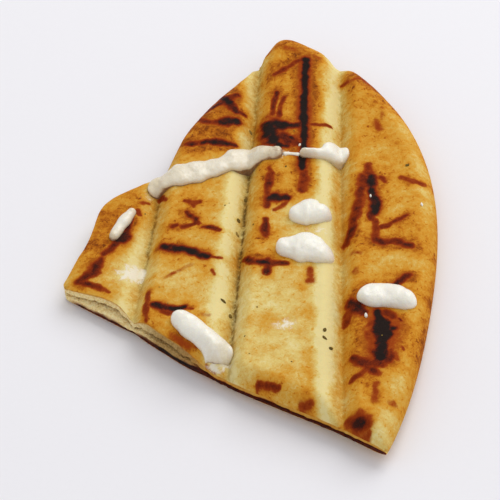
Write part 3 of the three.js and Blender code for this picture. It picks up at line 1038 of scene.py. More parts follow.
# Bars singed by the press: greatest heat, and then x, y and half width of each point of the bar
PRESS_MARKS = (
    (0.85, (22.3, 21.3, 0.8), (20.3, 17.1, 1.1), (19.6, 14.8, 1.9), (17.8, 13.8, 1.3)),
    (0.55, (17.8, 13.4, 1.3), (15.6, 10.3, 1.0), (13.0, 8.9, 0.8)),
    (0.62, (12.1, 7.0, 1.0), (10.8, 4.5, 2.3), (9.3, 2.2, 1.9), (7.4, 0.5, 1.1)),
    (0.6, (7.4, 0.5, 1.1), (5.5, -0.9, 1.3), (8.2, -2.2, 1.1)),
    (0.42, (8.2, -2.2, 1.0), (11.4, -3.9, 1.0), (14.0, -6.0, 0.6)),
    (0.4, (24.4, 25.1, 1.0), (24.9, 23.5, 0.8)),
    (0.3, (25.7, 28.1, 1.1), (28.0, 28.1, 0.7)),
    (0.36, (31.8, 29.8, 1.1), (33.4, 26.5, 0.7)),
    (0.5, (39.1, 24.4, 0.7), (41.2, 23.2, 1.1), (43.3, 23.3, 0.7)),
    (0.5, (41.2, 23.2, 0.7), (41.5, 21.9, 0.7)),
    (0.8, (39.1, 19.8, 0.7), (40.1, 18.1, 1.3), (41.3, 16.3, 0.9)),
    (0.45, (41.3, 16.3, 0.7), (42.4, 14.2, 0.7)),
    (0.62, (34.3, 14.8, 0.9), (35.5, 15.1, 0.7)),
    (0.62, (37.0, 14.2, 0.9), (38.8, 14.1, 1.1), (41.2, 14.5, 0.5)),
    (0.62, (43.5, 12.4, 0.7), (45.6, 11.5, 1.1), (48.2, 10.0, 0.7)),
    (0.9, (30.7, 7.4, 1.1), (32.5, 6.2, 1.5), (35.0, 5.1, 1.3)),
    (1.0, (34.7, 5.2, 1.3), (37.4, 4.5, 1.1), (40.0, 3.0, 1.5), (42.5, 1.4, 1.3), (44.2, 0.5, 0.9)),
    (0.42, (44.2, 0.2, 0.7), (46.2, -0.5, 0.5), (47.9, -0.9, 0.5)),
    (0.22, (30.9, -6.3, 0.7), (33.6, -4.7, 0.9), (36.6, -3.6, 0.9), (39.6, -1.9, 0.7)),
    (0.28, (45.1, -5.3, 0.7), (45.6, -6.7, 0.7)),
    (0.45, (25.9, -10.3, 0.9), (25.4, -13.8, 1.1), (24.8, -17.3, 1.1), (24.5, -21.2, 0.7)),
    (0.95, (26.9, -16.2, 0.9), (28.9, -17.1, 1.1), (30.8, -17.9, 1.3),
     (33.1, -18.4, 1.1), (36.3, -18.3, 0.7)),
    (0.5, (29.6, -19.2, 0.9), (31.9, -20.0, 0.9)),
    (0.34, (37.1, -19.0, 0.5), (38.8, -19.4, 0.5)),
    (0.26, (41.0, -21.7, 0.9), (42.9, -22.8, 0.9)),
    (0.72, (47.2, 63.7, 1.0), (50.6, 64.7, 1.4), (54.2, 66.2, 1.8), (57.8, 67.6, 1.0)),
    (0.72, (51.7, 71.4, 1.0), (54.8, 64.5, 1.8), (57.3, 60.5, 1.0), (59.6, 59.9, 0.6)),
    (1.0, (53.3, 67.3, 1.0), (55.1, 64.9, 1.2)),
    (0.62, (44.5, 61.8, 1.0), (47.4, 57.8, 1.4), (50.2, 57.0, 1.2)),
    (1.0, (52.3, 56.8, 1.6), (54.5, 56.3, 2.0), (56.9, 56.1, 1.4)),
    (0.66, (40.9, 48.8, 1.0), (43.7, 48.5, 1.2), (46.8, 48.4, 1.4)),
    (0.95, (45.5, 48.4, 1.0), (49.5, 48.5, 1.4), (52.2, 47.2, 1.2), (55.5, 46.2, 0.8)),
    (0.2, (68.3, 85.9, 1.1), (73.1, 86.0, 1.3), (79.2, 83.1, 1.3), (85.1, 78.8, 1.1)),
    (0.5, (69.8, 74.0, 0.7), (73.1, 76.0, 1.1), (76.1, 77.6, 0.9), (78.8, 78.8, 0.7)),
    (1.25, (80.7, 78.7, 1.3), (79.9, 72.5, 1.5), (78.4, 61.6, 1.5), (77.4, 52.5, 1.6)),
    (1.25, (77.4, 52.5, 1.5), (76.5, 44.7, 1.3), (76.0, 39.4, 1.3), (75.0, 32.1, 1.2)),
    (0.5, (75.1, 30.4, 1.7), (75.3, 26.7, 2.0), (74.4, 23.1, 1.5)),
    (0.52, (70.2, 66.6, 0.7), (69.2, 62.4, 0.9), (68.2, 57.9, 0.9)),
    (0.52, (72.3, 64.4, 0.7), (71.3, 60.5, 0.7), (70.4, 56.5, 0.9)),
    (1.0, (65.5, 54.5, 1.6), (68.2, 53.3, 2.5), (70.9, 51.6, 1.9)),
    (0.8, (70.9, 51.6, 1.4), (73.6, 50.5, 1.2), (75.7, 50.0, 1.2)),
    (0.95, (66.1, 50.0, 1.9), (66.4, 45.7, 2.1), (68.6, 42.3, 1.6)),
    (0.5, (64.5, 45.7, 1.2), (64.5, 49.9, 1.2)),
    (0.62, (69.6, 47.6, 1.9), (72.5, 44.7, 2.5), (74.1, 42.2, 1.6)),
    (1.0, (73.0, 45.5, 0.8), (73.4, 44.7, 0.8)),
    (0.75, (69.5, 42.1, 1.0), (71.6, 41.5, 1.0)),
    (0.46, (79.4, 49.8, 0.7), (82.2, 49.3, 0.7), (85.5, 50.3, 0.5)),
    (0.5, (64.8, 33.5, 0.8), (65.5, 31.2, 1.0), (64.1, 29.0, 1.1)),
    (0.58, (65.1, 30.5, 1.1), (64.3, 26.5, 1.3), (63.3, 22.1, 1.3), (62.7, 18.1, 1.1)),
    (1.0, (63.5, 21.3, 1.1), (66.1, 21.6, 1.5), (68.8, 21.1, 1.1), (69.8, 20.4, 0.8)),
    (0.36, (69.5, 19.4, 0.8), (67.6, 17.6, 0.8), (65.0, 16.3, 0.8)),
    (0.6, (62.2, 12.5, 1.0), (61.9, 9.2, 1.5), (61.7, 6.3, 1.3)),
    (0.66, (54.9, 0.5, 0.7), (57.5, -3.3, 1.1), (60.1, -4.8, 1.5), (62.9, -5.8, 1.3), (67.0, -6.7, 0.7)),
    (1.0, (58.6, -4.1, 1.0), (61.5, -5.5, 1.2)),
    (0.7, (61.3, -4.2, 1.2), (61.0, -9.5, 1.2)),
    (0.34, (73.5, -9.7, 1.3), (73.1, -14.5, 1.8)),
    (0.5, (54.7, -48.6, 0.65), (57.6, -50.1, 0.85), (60.4, -51.6, 0.65)),
    (0.44, (66.1, -56.8, 1.2), (69.1, -58.1, 1.2)),
    (0.34, (90.9, 69.4, 0.9), (93.4, 67.9, 1.1), (97.0, 69.2, 0.9), (100.8, 64.9, 0.7)),
    (0.5, (95.0, 30.3, 1.1), (94.8, 27.2, 1.7)),
    (0.52, (92.7, 25.3, 1.8), (92.0, 21.2, 1.8), (91.3, 17.5, 1.6)),
    (0.52, (91.3, 17.5, 1.6), (89.6, 12.9, 1.6), (88.4, 9.7, 1.8)),
    (0.6, (88.4, 9.7, 1.3), (87.2, 6.4, 1.3), (86.2, 3.9, 1.6), (85.3, 2.0, 1.6)),
    (1.0, (95.0, 25.0, 1.5), (95.0, 19.9, 1.5), (94.9, 14.9, 1.5), (94.7, 10.7, 1.3)),
    (0.6, (94.4, 15.8, 1.1), (93.5, 8.4, 1.1)),
    (0.44, (94.3, 7.4, 1.1), (93.9, 3.3, 1.3), (93.4, 0.6, 1.5)),
    (0.68, (93.4, -0.3, 1.3), (95.7, -1.5, 1.3), (98.9, -1.9, 1.1)),
    (0.72, (98.8, -2.1, 1.1), (101.3, -3.6, 1.3), (103.8, -4.3, 1.1)),
    (0.48, (98.1, 24.7, 0.9), (99.0, 23.1, 0.9)),
    (0.36, (104.3, 23.6, 0.9), (107.4, 22.0, 1.1), (110.6, 20.9, 0.9)),
    (0.5, (95.8, 4.4, 0.9), (98.4, 4.5, 0.9), (100.7, 5.9, 0.9), (103.7, 7.4, 0.7)),
    (0.22, (102.0, 55.5, 0.7), (101.2, 49.6, 0.9)),
    (0.26, (99.4, 49.2, 1.5), (100.3, 45.8, 1.5)),
    (0.26, (86.2, -3.6, 1.1), (88.8, -4.8, 1.1)),
    (0.22, (86.5, -11.2, 1.1), (86.6, -12.6, 1.1)),
    (0.82, (97.0, -18.2, 0.9), (99.0, -17.0, 1.1), (101.2, -15.6, 1.1)),
    (0.8, (87.5, -19.2, 0.9), (88.7, -18.7, 0.7)),
    (0.86, (83.1, -22.4, 1.6), (84.8, -25.2, 1.8), (86.6, -27.5, 1.6)),
    (0.44, (82.8, -25.8, 1.4), (82.1, -29.5, 1.4)),
    (1.2, (90.5, -27.9, 1.3), (90.8, -30.7, 1.8)),
    (1.2, (90.8, -31.5, 2.2), (92.0, -34.9, 3.3), (91.2, -38.8, 3.2),
     (90.3, -43.4, 2.8), (90.0, -46.1, 2.2)),
    (1.1, (93.2, -34.4, 1.5), (94.6, -35.7, 1.3)),
    (0.5, (93.0, -29.0, 1.3), (94.8, -30.6, 1.3)),
    (0.36, (88.7, -31.1, 1.5), (87.6, -36.4, 1.7), (87.9, -41.3, 1.5)),
    (0.66, (81.9, -43.5, 1.1), (83.4, -45.5, 1.7), (86.1, -47.1, 1.9), (89.1, -47.9, 1.9)),
    (0.56, (89.9, -48.4, 1.7), (92.3, -47.0, 1.5), (93.2, -44.1, 1.1)),
    (0.5, (86.9, -50.4, 1.7), (88.7, -51.4, 1.3)),
    (0.5, (81.3, -51.4, 1.0), (83.7, -50.9, 1.3), (86.1, -49.4, 1.1)),
    (0.5, (96.4, -31.8, 0.5), (96.9, -32.7, 0.5)),
    (0.42, (96.4, -43.2, 0.5), (96.6, -44.2, 0.5)),
    (0.3, (94.0, -45.0, 0.9), (94.4, -48.3, 0.9)),
    (0.28, (87.4, -55.4, 1.3), (86.5, -61.3, 1.3)),
    (0.26, (90.5, -62.3, 1.1), (91.8, -62.1, 1.1)),
    (0.5, (79.4, -65.4, 2.0), (81.2, -66.4, 2.6), (83.2, -67.6, 2.2)),
    (1.0, (79.8, -66.2, 1.2), (82.2, -67.4, 1.5)),
    (0.3, (80.6, -69.6, 1.1), (83.6, -70.8, 1.2)),
    (1.15, (66.4, 53.7, 2.2), (66.6, 48.9, 2.6), (67.2, 44.5, 1.9)),
    (0.52, (69.5, 46.3, 1.8), (72.1, 43.4, 1.9), (73.8, 42.6, 1.3)),
    (0.28, (32.0, -28.0, 1.1), (33.7, -30.8, 1.6), (37.0, -32.9, 1.1), (39.5, -34.3, 0.6)),
    (0.26, (40.6, -38.3, 0.8), (42.6, -40.2, 0.8)),
)

# Milky smears: x, y, reach across and along the ribs, thickness, and turn in degrees
SMEARS = (
    (21.3, 0.6, 5.0, 3.6, 1.0, 10), (69.4, 38.6, 2.8, 1.8, 0.8), (64.6, -29.7, 4.4, 2.6, 0.7),
    (17.4, 14.6, 1.8, 1.8, 0.3), (27.6, 30.6, 2.0, 2.0, 0.5), (77.0, 5.8, 5.0, 2.4, 0.5),
    (79.0, 38.4, 3.0, 2.0, 0.5), (44.2, -39.2, 4.2, 2.2, 0.75), (96.0, -27.0, 4.0, 1.6, 0.4, -20),
)


@dataclass(frozen=True)
class GrooveTone:
    """How one groove is coloured: a pale flank on its corner side, a dark line of painted shade in its
    crease, and a shaded foot.

    The flank's place and the line's strength are rows of y and value.
    """

    pale: float
    pale_at: tuple[Place, ...]
    pale_width: float
    line: tuple[Place, ...]
    foot: float = 0.0


@dataclass(frozen=True)
class Toasting:
    """How far each place on the crust is toasted, where the press singed it, and where shade is painted
    into the grooves.
    """

    shape: QuarterShape
    rib_tones: tuple[tuple[Place, ...], ...] = (
        ((-15, 0.40), (-2, 0.37), (12, 0.5), (26, 0.62)),
        ((-32, 0.46), (-20, 0.36), (-5, 0.3), (10, 0.36), (28, 0.4), (40, 0.5), (50, 0.64), (76, 0.66)),
        (
            (-58, 0.34), (-42, 0.24), (-20, 0.2), (-8, 0.28), (2, 0.42),
            (25, 0.46), (40, 0.54), (62, 0.54), (88, 0.62),
        ),
        (
            (-76, 0.44), (-58, 0.48), (-42, 0.56), (-28, 0.56), (-12, 0.5),
            (8, 0.46), (30, 0.5), (50, 0.56), (68, 0.6),
        ),
    )
    groove_tones: tuple[GrooveTone, ...] = (
        GrooveTone(
            pale=0.42,
            pale_at=((-8, -3.4), (5, -3.2), (12, -2.8), (20, -2.6)),
            pale_width=2.8,
            line=((-16, 0.0), (-10, 0.25), (0, 0.5), (8, 0.75), (28, 0.7)),
            foot=0.16,
        ),
        GrooveTone(
            pale=0.54,
            pale_at=((-20, -4.6), (20, -3.6), (60, -2.0)),
            pale_width=2.6,
            line=((-45, 0.25), (-35, 0.7), (-20, 0.95), (20, 1.0), (50, 0.65), (76, 0.4)),
            foot=0.3,
        ),
        GrooveTone(
            pale=0.66,
            pale_at=((-40, -4.8), (25, -4.7), (47, -3.4), (66, -1.4)),
            pale_width=2.4,
            line=((-70, 0.1), (-50, 0.18), (-20, 0.26), (20, 0.26), (70, 0.2)),
        ),
    )
    rib_join: float = 3.0
    flank_waver: Unevenness = Unevenness(6.0, 77, amount=0.5)
    far_flank: float = 0.3
    far_flank_at: float = 1.6
    far_flank_width: float = 1.8
    rim_pale: float = 0.12
    rim_pale_at: float = 3.4
    rim_pale_width: float = 2.4
    rim_pale_end: float = 30.0
    rim_pale_fading: float = 30.0
    rim_brown: float = 0.14
    rim_brown_width: float = 1.4
    clouds: Unevenness = Unevenness(9.0, 11, 3, 0.2)
    streaks: Unevenness = Unevenness(3.0, 23, 2, 0.1)
    streak_stretch: float = 0.45
    glow_share: float = 0.6
    glow_reach: float = 2.1
    glow_limit: float = 0.86
    glow_patches: Unevenness = Unevenness(3.2, 53, 2, 0.6)
    wavers_across: tuple[Unevenness, ...] = (Unevenness(1.6, 41, 2, 0.3), Unevenness(5.0, 42, 1, 0.4))
    wavers_along: tuple[Unevenness, ...] = (Unevenness(1.6, 43, 2, 0.3), Unevenness(5.0, 44, 1, 0.4))
    edge_wear: Unevenness = Unevenness(2.2, 45, 2, 0.35)
    heat_patches: Unevenness = Unevenness(2.0, 47, 2, 0.45)
    edge_start: float = 0.2
    edge_width: float = 1.5
    burnt_edge_width: float = 1.15
    haze: float = 0.32
    haze_reach: float = 2.0
    # Painted shade in each groove: a dark line along its crease, and shade at its foot and beside the
    # last pale flank.
    line_at: float = 0.2
    line_waver: Unevenness = Unevenness(4.0, 57, 2, 0.35)
    line_width: float = 0.74
    line_width_waver: Unevenness = Unevenness(5.0, 59, 1, 0.25)
    foot_width: float = 1.5
    last_shade: float = 0.1
    last_shade_at: float = 3.7
    last_shade_width: float = 1.9
    patches: tuple[Patch, ...] = tuple(Patch((x, y), *rest) for x, y, *rest in TOASTED_AREAS)
    strokes: tuple[Stroke, ...] = tuple(Stroke(tuple(path), heat) for heat, *path in PRESS_MARKS)
    films: tuple[Patch, ...] = tuple(Patch((x, y), *rest) for x, y, *rest in SMEARS)

    def toast(self, x: Array, y: Array) -> Array:
        """How far places on the upper crust are toasted, from 0 pale to 1 brown.

        Args:
            x: first coordinates.
            y: second coordinates.

        Returns:
            One level for each place.
        """
        tones = [read_along(tone, y) for tone in self.rib_tones]
        level = tones[0]
        for groove, tone in zip(self.shape.grooves, tones[1:]):
            level = between(level, tone, smooth(groove.offset(x, y) / self.rib_join + 0.5))
        for groove, tone in zip(self.shape.grooves, self.groove_tones):
            off = groove.offset(x, y) + self.flank_waver.at(x, y)
            level = level - tone.pale * hump(off - read_along(tone.pale_at, y), tone.pale_width)
            far = hump(off - self.far_flank_at, self.far_flank_width)
            level = level - self.far_flank * tone.pale * far
        for patch in self.patches:
            level = level + patch.amount(x, y)
        rim = self.shape.rim_depth(x, y)
        rim_pale = self.rim_pale * hump(rim - self.rim_pale_at, self.rim_pale_width)
        level = level - rim_pale * (1.0 - smooth((y - self.rim_pale_end) / self.rim_pale_fading))
        level = level + self.rim_brown * hump(rim, self.rim_brown_width)
        level = level + self.clouds.at(x, y)
        level = level + self.streaks.at(x * self.streak_stretch, y)
        return np.maximum(level, np.minimum(level + self._glow(x, y), self.glow_limit))

    def _glow(self, x: Array, y: Array) -> Array:
        """Browning around the singed bars.

        Args:
            x: first coordinates.
            y: second coordinates.

        Returns:
            One change for each place.
        """
        felt = np.zeros(x.shape)
        for stroke in self.strokes:
            most = min(1.0, stroke.heat) * self.glow_share
            felt = np.maximum(felt, most * np.exp(-stroke.nearness(x, y)[1] / self.glow_reach))
        return felt * (1.0 + self.glow_patches.at(x, y))

    def singe(self, x: Array, y: Array) -> Array:
        """How far places are singed, from 0 to a little over 1.

        Args:
            x: first coordinates.
            y: second coordinates.

        Returns:
            One level for each place.
        """
        u, v = x, y
        for across, along in zip(self.wavers_across, self.wavers_along):
            u, v = u + across.at(x, y), v + along.at(x, y)
        worn = self.edge_wear.at(x, y)
        patchy = 1.0 + self.heat_patches.at(x, y)
        felt = np.zeros(x.shape)
        for stroke in self.strokes:
            ratio = stroke.nearness(u, v)[0]
            width = self.burnt_edge_width if stroke.burnt else self.edge_width
            near = 1.0 - smooth((ratio + worn - self.edge_start) / width)
            near = np.maximum(near, self.haze * hump(ratio, self.haze_reach))
            felt = np.maximum(felt, stroke.heat * near * (1.0 if stroke.burnt else patchy))
        return felt

    def crease(self, x: Array, y: Array) -> Array:
        """How dark the painted shade is: the line in each groove's crease, the shade at its foot, and
        the shade beside the last groove's pale flank.

        Args:
            x: first coordinates.
            y: second coordinates.

        Returns:
            One level for each place, from 0 to 1.
        """
        dark = np.zeros(x.shape)
        width = self.line_width + self.line_width_waver.at(x, y)
        for groove, tone in zip(self.shape.grooves, self.groove_tones):
            off = groove.offset(x, y)
            line = read_along(tone.line, y) * hump(off + self.line_waver.at(x, y) - self.line_at, width)
            foot = tone.foot * hump(off - self.line_at, self.foot_width)
            dark = np.maximum(np.maximum(dark, line), foot)
        beside = self.shape.grooves[-1].offset(x, y) - self.last_shade_at
        beside = beside - read_along(self.groove_tones[-1].pale_at, y)
        return np.maximum(dark, self.last_shade * hump(beside, self.last_shade_width, power=4))

    def film(self, x: Array, y: Array) -> Array:
        """How thickly sauce is smeared over the crust, from 0 to 1."""
        return np.clip(sum(film.amount(x, y) for film in self.films), 0.0, 1.0)


@dataclass(frozen=True)
class CutFace:
    """One torn cut face, with the slit of the pocket between the two crusts; painted shade darkens the
    pocket, and singed crust with painted shade darkens its foot.

    Its rows are shares of the way up, from 0 at its foot to 1 at its head. Fields that end in
    along or up hold a start and a length: where something comes or goes along the cut or up it.
    """

    cut: Cut
    seed: int
    # Darkened foot of the face, singed bottom crust together with painted shade: how dark, how high, and
    # where it climbs along the cut.
    scorch_and_shade: float
    char_and_shade_heights: Span
    char_and_shade_along: Span = (44.0, 16.0)
    char_and_shade_edge: float = 0.16
    char_and_shade_raggedness: float = 0.08
    sole_along: Span = (2.0, 4.0)
    fresh_along: Span = (26.0, 14.0)
    crust_up: Span = (0.88, 0.1)
    brown_contrast: float = 1.6
    brown_stretch: Span = (0.35, 2.2)
    brown_heat: float = 0.3
    pocket_depth: float = 6.5
    pocket_sway: float = 0.2
    pocket_sway_size: float = 9.0
    pocket_share: float = 0.62
    pocket_mouth: float = 0.17
    pocket_taper: float = 14.0
    pocket_in_groove: float = 0.25
    pocket_roundness: float = 0.8
    # Painted shade inside the pocket, as extra singe and as a dark shade mark.
    pocket_shade_singe: float = 0.3
    pocket_shade: float = 0.75
    row_counts: tuple[int, int, int] = (11, 11, 8)
    least_height: float = 3.0
    corner_fading: float = 2.0
    edge_sharpness: float = 6.0
    wave: float = 0.035
    wave_size: float = 5.0
    wave_fading: float = 3.0
    bulge: float = 0.45
    roughness: float = 0.3
    rough_size: float = 1.5
    rough_stretch: float = 1.4
    layer_depth: float = 0.2
    layer_rate: float = 4.2
    layer_waver: float = 1.5
    layer_waver_size: float = 7.0
    streak_size: float = 5.0
    pressed_crumb: float = 0.25
    toast: float = 0.5
    toast_of_crust: float = 0.2
    toast_of_pressing: float = 0.3
    # Painted shade inside the pocket, as extra toast.
    pocket_shade_toast: float = 0.25

    def _rows(self) -> Array:
        """Rows of the face from its foot to its head.

        Returns:
            Rows of share of the height, and how deep in the pocket each lies.
        """
        low = self.pocket_share - self.pocket_mouth / 2
        high = self.pocket_share + self.pocket_mouth / 2
        below, inside, above = self.row_counts
        turns = np.linspace(0.0, math.pi, inside)
        foot = np.linspace(0.0, low, below)[:-1]
        head = np.linspace(high, 1.0, above)[1:]
        shares = np.concatenate([foot, between(low, high, turns / math.pi), head])
        depths = [np.zeros(len(foot)), np.sin(turns) ** self.pocket_roundness, np.zeros(len(head))]
        return np.column_stack([shares, np.concatenate(depths)])

    def _torn(self, distance: Array, height: Array, share: float, deep: float) -> Array:
        """How far the torn crumb of one row stands out.

        Args:
            distance: distances from the corner.
            height: heights above the foot.
            share: the row's share of the height.
            deep: how deep in the pocket it lies.

        Returns:
            One distance for each place.
        """
        rough = Unevenness(self.rough_size, self.seed + 1, 3, self.roughness)
        waver = Unevenness(self.layer_waver_size, self.seed + 2, amount=self.layer_waver)
        layers = self.layer_depth * np.sin(height * self.layer_rate + waver.at(distance, height))
        bulge = self.bulge * math.sin(math.pi * share) * (1.0 - deep)
        return bulge + rough.at(distance, height * self.rough_stretch) + layers * (1.0 - deep)

    def _marks(self, distance: Array, height: Array, share: float, deep: float) -> Marks:
        """Marks of one row.

        Args:
            distance: distances from the corner.
            height: heights above the foot.
            share: the row's share of the height.
            deep: how deep in the pocket it lies.

        Returns:
            One number for each place under each mark's name.
        """
        streaks = Unevenness(self.streak_size, self.seed + 3, 2)
        fresh = 1.0 - self._coming(distance, self.fresh_along)
        # Darkened foot: singed bottom crust and painted shade.
        darkened_up_to = between(*self.char_and_shade_heights, self._coming(distance, self.char_and_shade_along))
        darkened_up_to = darkened_up_to + self.char_and_shade_raggedness * streaks.at(distance, height)
        singed_and_shaded_sole = smooth((darkened_up_to - share) / self.char_and_shade_edge) * self._coming(distance, self.sole_along)
        stretch_along, stretch_up = self.brown_stretch
        streaked = streaks.at(stretch_along * distance, stretch_up * height)
        browned = smooth(0.5 + self.brown_contrast * streaked) * (1.0 - fresh)
        crust = self._coming(share, self.crust_up)
        pinch = self.cut.pinch
        opened = 1.0 - smooth((distance - pinch.start) / pinch.over)
        crumb = self.pressed_crumb + (1.0 - self.pressed_crumb) * opened
        toast = self.toast + self.toast_of_crust * crust
        toast = toast + self.toast_of_pressing * (1 - opened) * smooth(1 - share)
        # Singe on the foot is singed crust with painted shade, and singe inside the pocket is painted
        # shade.
        singe = self.scorch_and_shade * singed_and_shaded_sole + self.pocket_shade_singe * deep * opened
        # Inside the pocket, painted shade also comes as extra toast, a dark shade mark and the older,
        # darker crumb colour.
        return {
            "toast": toast + self.pocket_shade_toast * deep,
            "singe": singe + self.brown_heat * browned * opened,
            "crumb": np.clip((1.0 - crust) * (1.0 - singed_and_shaded_sole) * crumb, 0, 1),
            "crease": self.pocket_shade * deep * opened,
            "fresh": fresh * (1.0 - deep),
            "film": np.zeros(len(distance)),
        }

    @staticmethod
    def _coming(at: "float | Array", stretch: Span) -> Array:
        """Rises from 0 to 1 over a stretch that is given by its start and its length."""
        return smooth((at - stretch[0]) / stretch[1])

    def build(self, bread: "Flatbread", foot: Array, head: Array) -> tuple[Array, Marks]:
        """Places and marks of the whole face.

        Args:
            bread: the bread that was cut.
            foot: rows of distance, x and y along its lower crust, from the corner to the rim.
            head: such rows along its upper crust.

        Returns:
            Points by column and row, and the marks by name.
        """
        distance, x, y = foot.T
        shape, pinch = bread.shape, self.cut.pinch
        bottom, top = shape.underside(x, y), bread.surface(head[:, 1], head[:, 2])
        length = distance[-1]
        fading = smooth((length - distance) / self.pocket_taper) * smooth(distance / self.corner_fading)
        closing = smooth((pinch.start + pinch.over - distance) / self.pocket_taper)
        pressed = 1.0 - (1.0 - self.pocket_in_groove) * shape.deepest(x, y)
        sway = 1.0 - self.pocket_sway + self.pocket_sway * np.sin(distance / self.pocket_sway_size)
        pocket = self.pocket_depth * closing * pressed * sway
        waver = Unevenness(self.wave_size, self.seed, amount=self.wave)
        waves = waver.at(distance, np.zeros(len(distance)))
        points, marks = [], []
        for share, deep in self._rows():
            edge = min(1.0, self.edge_sharpness * share, self.edge_sharpness * (1.0 - share))
            height = share * np.maximum(self.least_height, top - bottom)
            inset = pocket * deep - fading * edge * self._torn(distance, height, share, deep)
            run = np.maximum(0.0, inset) / math.tan(shape.half_angle)
            moved = np.hypot(distance, run) - distance
            upward = smooth((share - self.pocket_share) / self.pocket_mouth + 0.5)
            place = between(foot[:, 1:], head[:, 1:], upward)
            place = place + moved[:, None] * self.cut.along - inset[:, None] * self.cut.outward
            waved = share + waves * edge * smooth(distance / self.wave_fading)
            points.append(np.column_stack([place, between(bottom, top, waved)]))
            marks.append(self._marks(distance, height, share, deep))
        return np.stack(points, 1), {name: np.stack([row[name] for row in marks], 1) for name in MARKS}


@dataclass
class Flatbread:
    """The bread itself: upper crust, underside, rounded rim, and two torn cut faces with a pocket."""

    shape: QuarterShape
    placing: Placing
    toasting: Toasting
    swells: Unevenness = Unevenness(8.0, 3, 3, 0.2)
    wrinkles: Unevenness = Unevenness(2.2, 5, 2, 0.09)
    relief_reach: float = 3.0
    step: float = 0.52
    under_step: float = 1.3
    edge_rows: tuple[float, ...] = (0.07, 0.24, 0.5, 0.85)
    row_clear: float = 0.04
    row_end_clear: float = 1.2
    corner_clear: float = 2.6
    jitter: float = 0.12
    jitter_seed: int = 8
    snap: float = 1e-6
    weld_digits: int = 4
    under_toast: float = 0.5
    under_clouds: Unevenness = Unevenness(12.0, 91, 3, 0.16)
    under_groove_pale: float = 0.2

    def relief(self, x: Array, y: Array) -> Array:
        """Small rises and dips of the upper crust, in millimetres."""
        soft = self.swells.at(x, y) + self.wrinkles.at(x, y)
        return soft * rounded_edge(self.shape.rim_depth(x, y), self.relief_reach)

    def surface(self, x: Array, y: Array) -> Array:
        """Heights of the dressed upper crust."""
        return self.shape.top(x, y) + self.relief(x, y)

    def _outline(self, upper: bool) -> tuple[Array, Array, Array]:
        """Both cut lines and the rim line as rows of places, of the upper crust or of the lower one.

        Args:
            upper: True for the upper crust.

        Returns:
            Front cut, rim and back cut.
        """
        front = self.shape.cut_line(self.shape.front, self.step, upper)
        back = self.shape.cut_line(self.shape.back, self.step, upper)
        return front, self.shape.rim_line(self.step), back

    def _loop(self, upper: bool) -> Array:
        """The whole outline's places in order, of the upper crust or of the lower one."""
        front, rim, back = self._outline(upper)
        return np.concatenate([front[:, 1:], rim, back[:0:-1, 1:]])

    def _inner(self, step: float, rows: Sequence[float], upper: bool) -> Array:
        """Places inside the outline: rows that follow its edges, and a staggered grid.

        Args:
            step: spacing of the grid.
            rows: depths of the rows inside the edges.
            upper: True for the upper crust and False for the underside.

        Returns:
            Rows of x and y.
        """
        front, rim, back = self._outline(upper)
        groups = []
        for depth in rows:
            groups.append(front[1:-1, 1:] - depth * self.shape.front.outward)
            groups.append(back[1:-1, 1:] - depth * self.shape.back.outward)
            groups.append(rim * (1.0 - depth / np.hypot(rim[:, 0], rim[:, 1]))[:, None])
        followed = np.concatenate(groups)
        x, y = followed.T
        cuts = [cut.depth(x, y, upper) for cut in (self.shape.front, self.shape.back)]
        nearest = np.sort([*cuts, self.shape.rim_depth(x, y)], axis=0)
        clear = (nearest[0] > self.row_clear) & (nearest[1] > self.row_end_clear)
        followed = followed[clear & (np.hypot(x, y) > self.corner_clear)]
        reach = self.shape.rim_radius + self.shape.rim_swell
        lines = np.arange(-reach, reach, step * math.sqrt(3) / 2)
        across = np.arange(0.0, reach, step)
        grid_x, grid_y = np.meshgrid(across, lines)
        grid_x = grid_x + 0.5 * step * (np.arange(len(lines)) % 2)[:, None]
        dice = np.random.default_rng(self.jitter_seed)
        jitter = dice.uniform(-self.jitter, self.jitter, (2, *grid_x.shape)) * step
        x, y = (grid_x + jitter[0]).ravel(), (grid_y + jitter[1]).ravel()
        kept = self.shape.depth(x, y, upper) > max(rows) + 0.5 * step
        kept &= np.hypot(x, y) > self.corner_clear
        return np.concatenate([followed, np.column_stack([x, y])[kept]])

    def _sheet(self, loop: Array, inner: Array) -> tuple[Array, Array]:
        """Triangles over the plan.

        Args:
            loop: the outline's places in order.
            inner: places inside it.

        Returns:
            Places with the outline's first, and triangles that turn to the left.
        """
        places = np.concatenate([loop, inner])
        count = len(loop)
        edges = [(index, (index + 1) % count) for index in range(count)]
        result = delaunay_2d_cdt([Vector(place) for place in places], edges, [], 1, self.snap)
        if len(result[0]) != len(places):
            raise ValueError("places of the bread's plan fell together")
        triangles = np.array(result[2])
        start, second, third = (places[triangles[:, corner]] for corner in range(3))
        ahead, aside = second - start, third - start
        turn = ahead[:, 0] * aside[:, 1] - ahead[:, 1] * aside[:, 0]
        triangles[turn < 0] = triangles[turn < 0][:, ::-1]
        return places, triangles

    def _upper_marks(self, x: Array, y: Array) -> Marks:
        """Marks of the upper crust at places: toasted, singed, darkened with painted shade in the
        creases, and smeared with sauce.

        Args:
            x: first coordinates.
            y: second coordinates.

        Returns:
            One number for each place under each mark's name.
        """
        marks = {name: np.zeros(len(x)) for name in MARKS}
        marks["toast"], marks["singe"] = self.toasting.toast(x, y), self.toasting.singe(x, y)
        marks["crease"], marks["film"] = self.toasting.crease(x, y), self.toasting.film(x, y)
        return marks

    def _under_marks(self, x: Array, y: Array) -> Marks:
        """Marks of the underside at places: evenly toasted, and paler under the grooves.

        Args:
            x: first coordinates.
            y: second coordinates.

        Returns:
            One number for each place under each mark's name.
        """
        marks = {name: np.zeros(len(x)) for name in MARKS}
        pale = self.under_groove_pale * self.shape.deepest(x, y)
        marks["toast"] = self.under_toast + self.under_clouds.at(x, y) - pale
        return marks

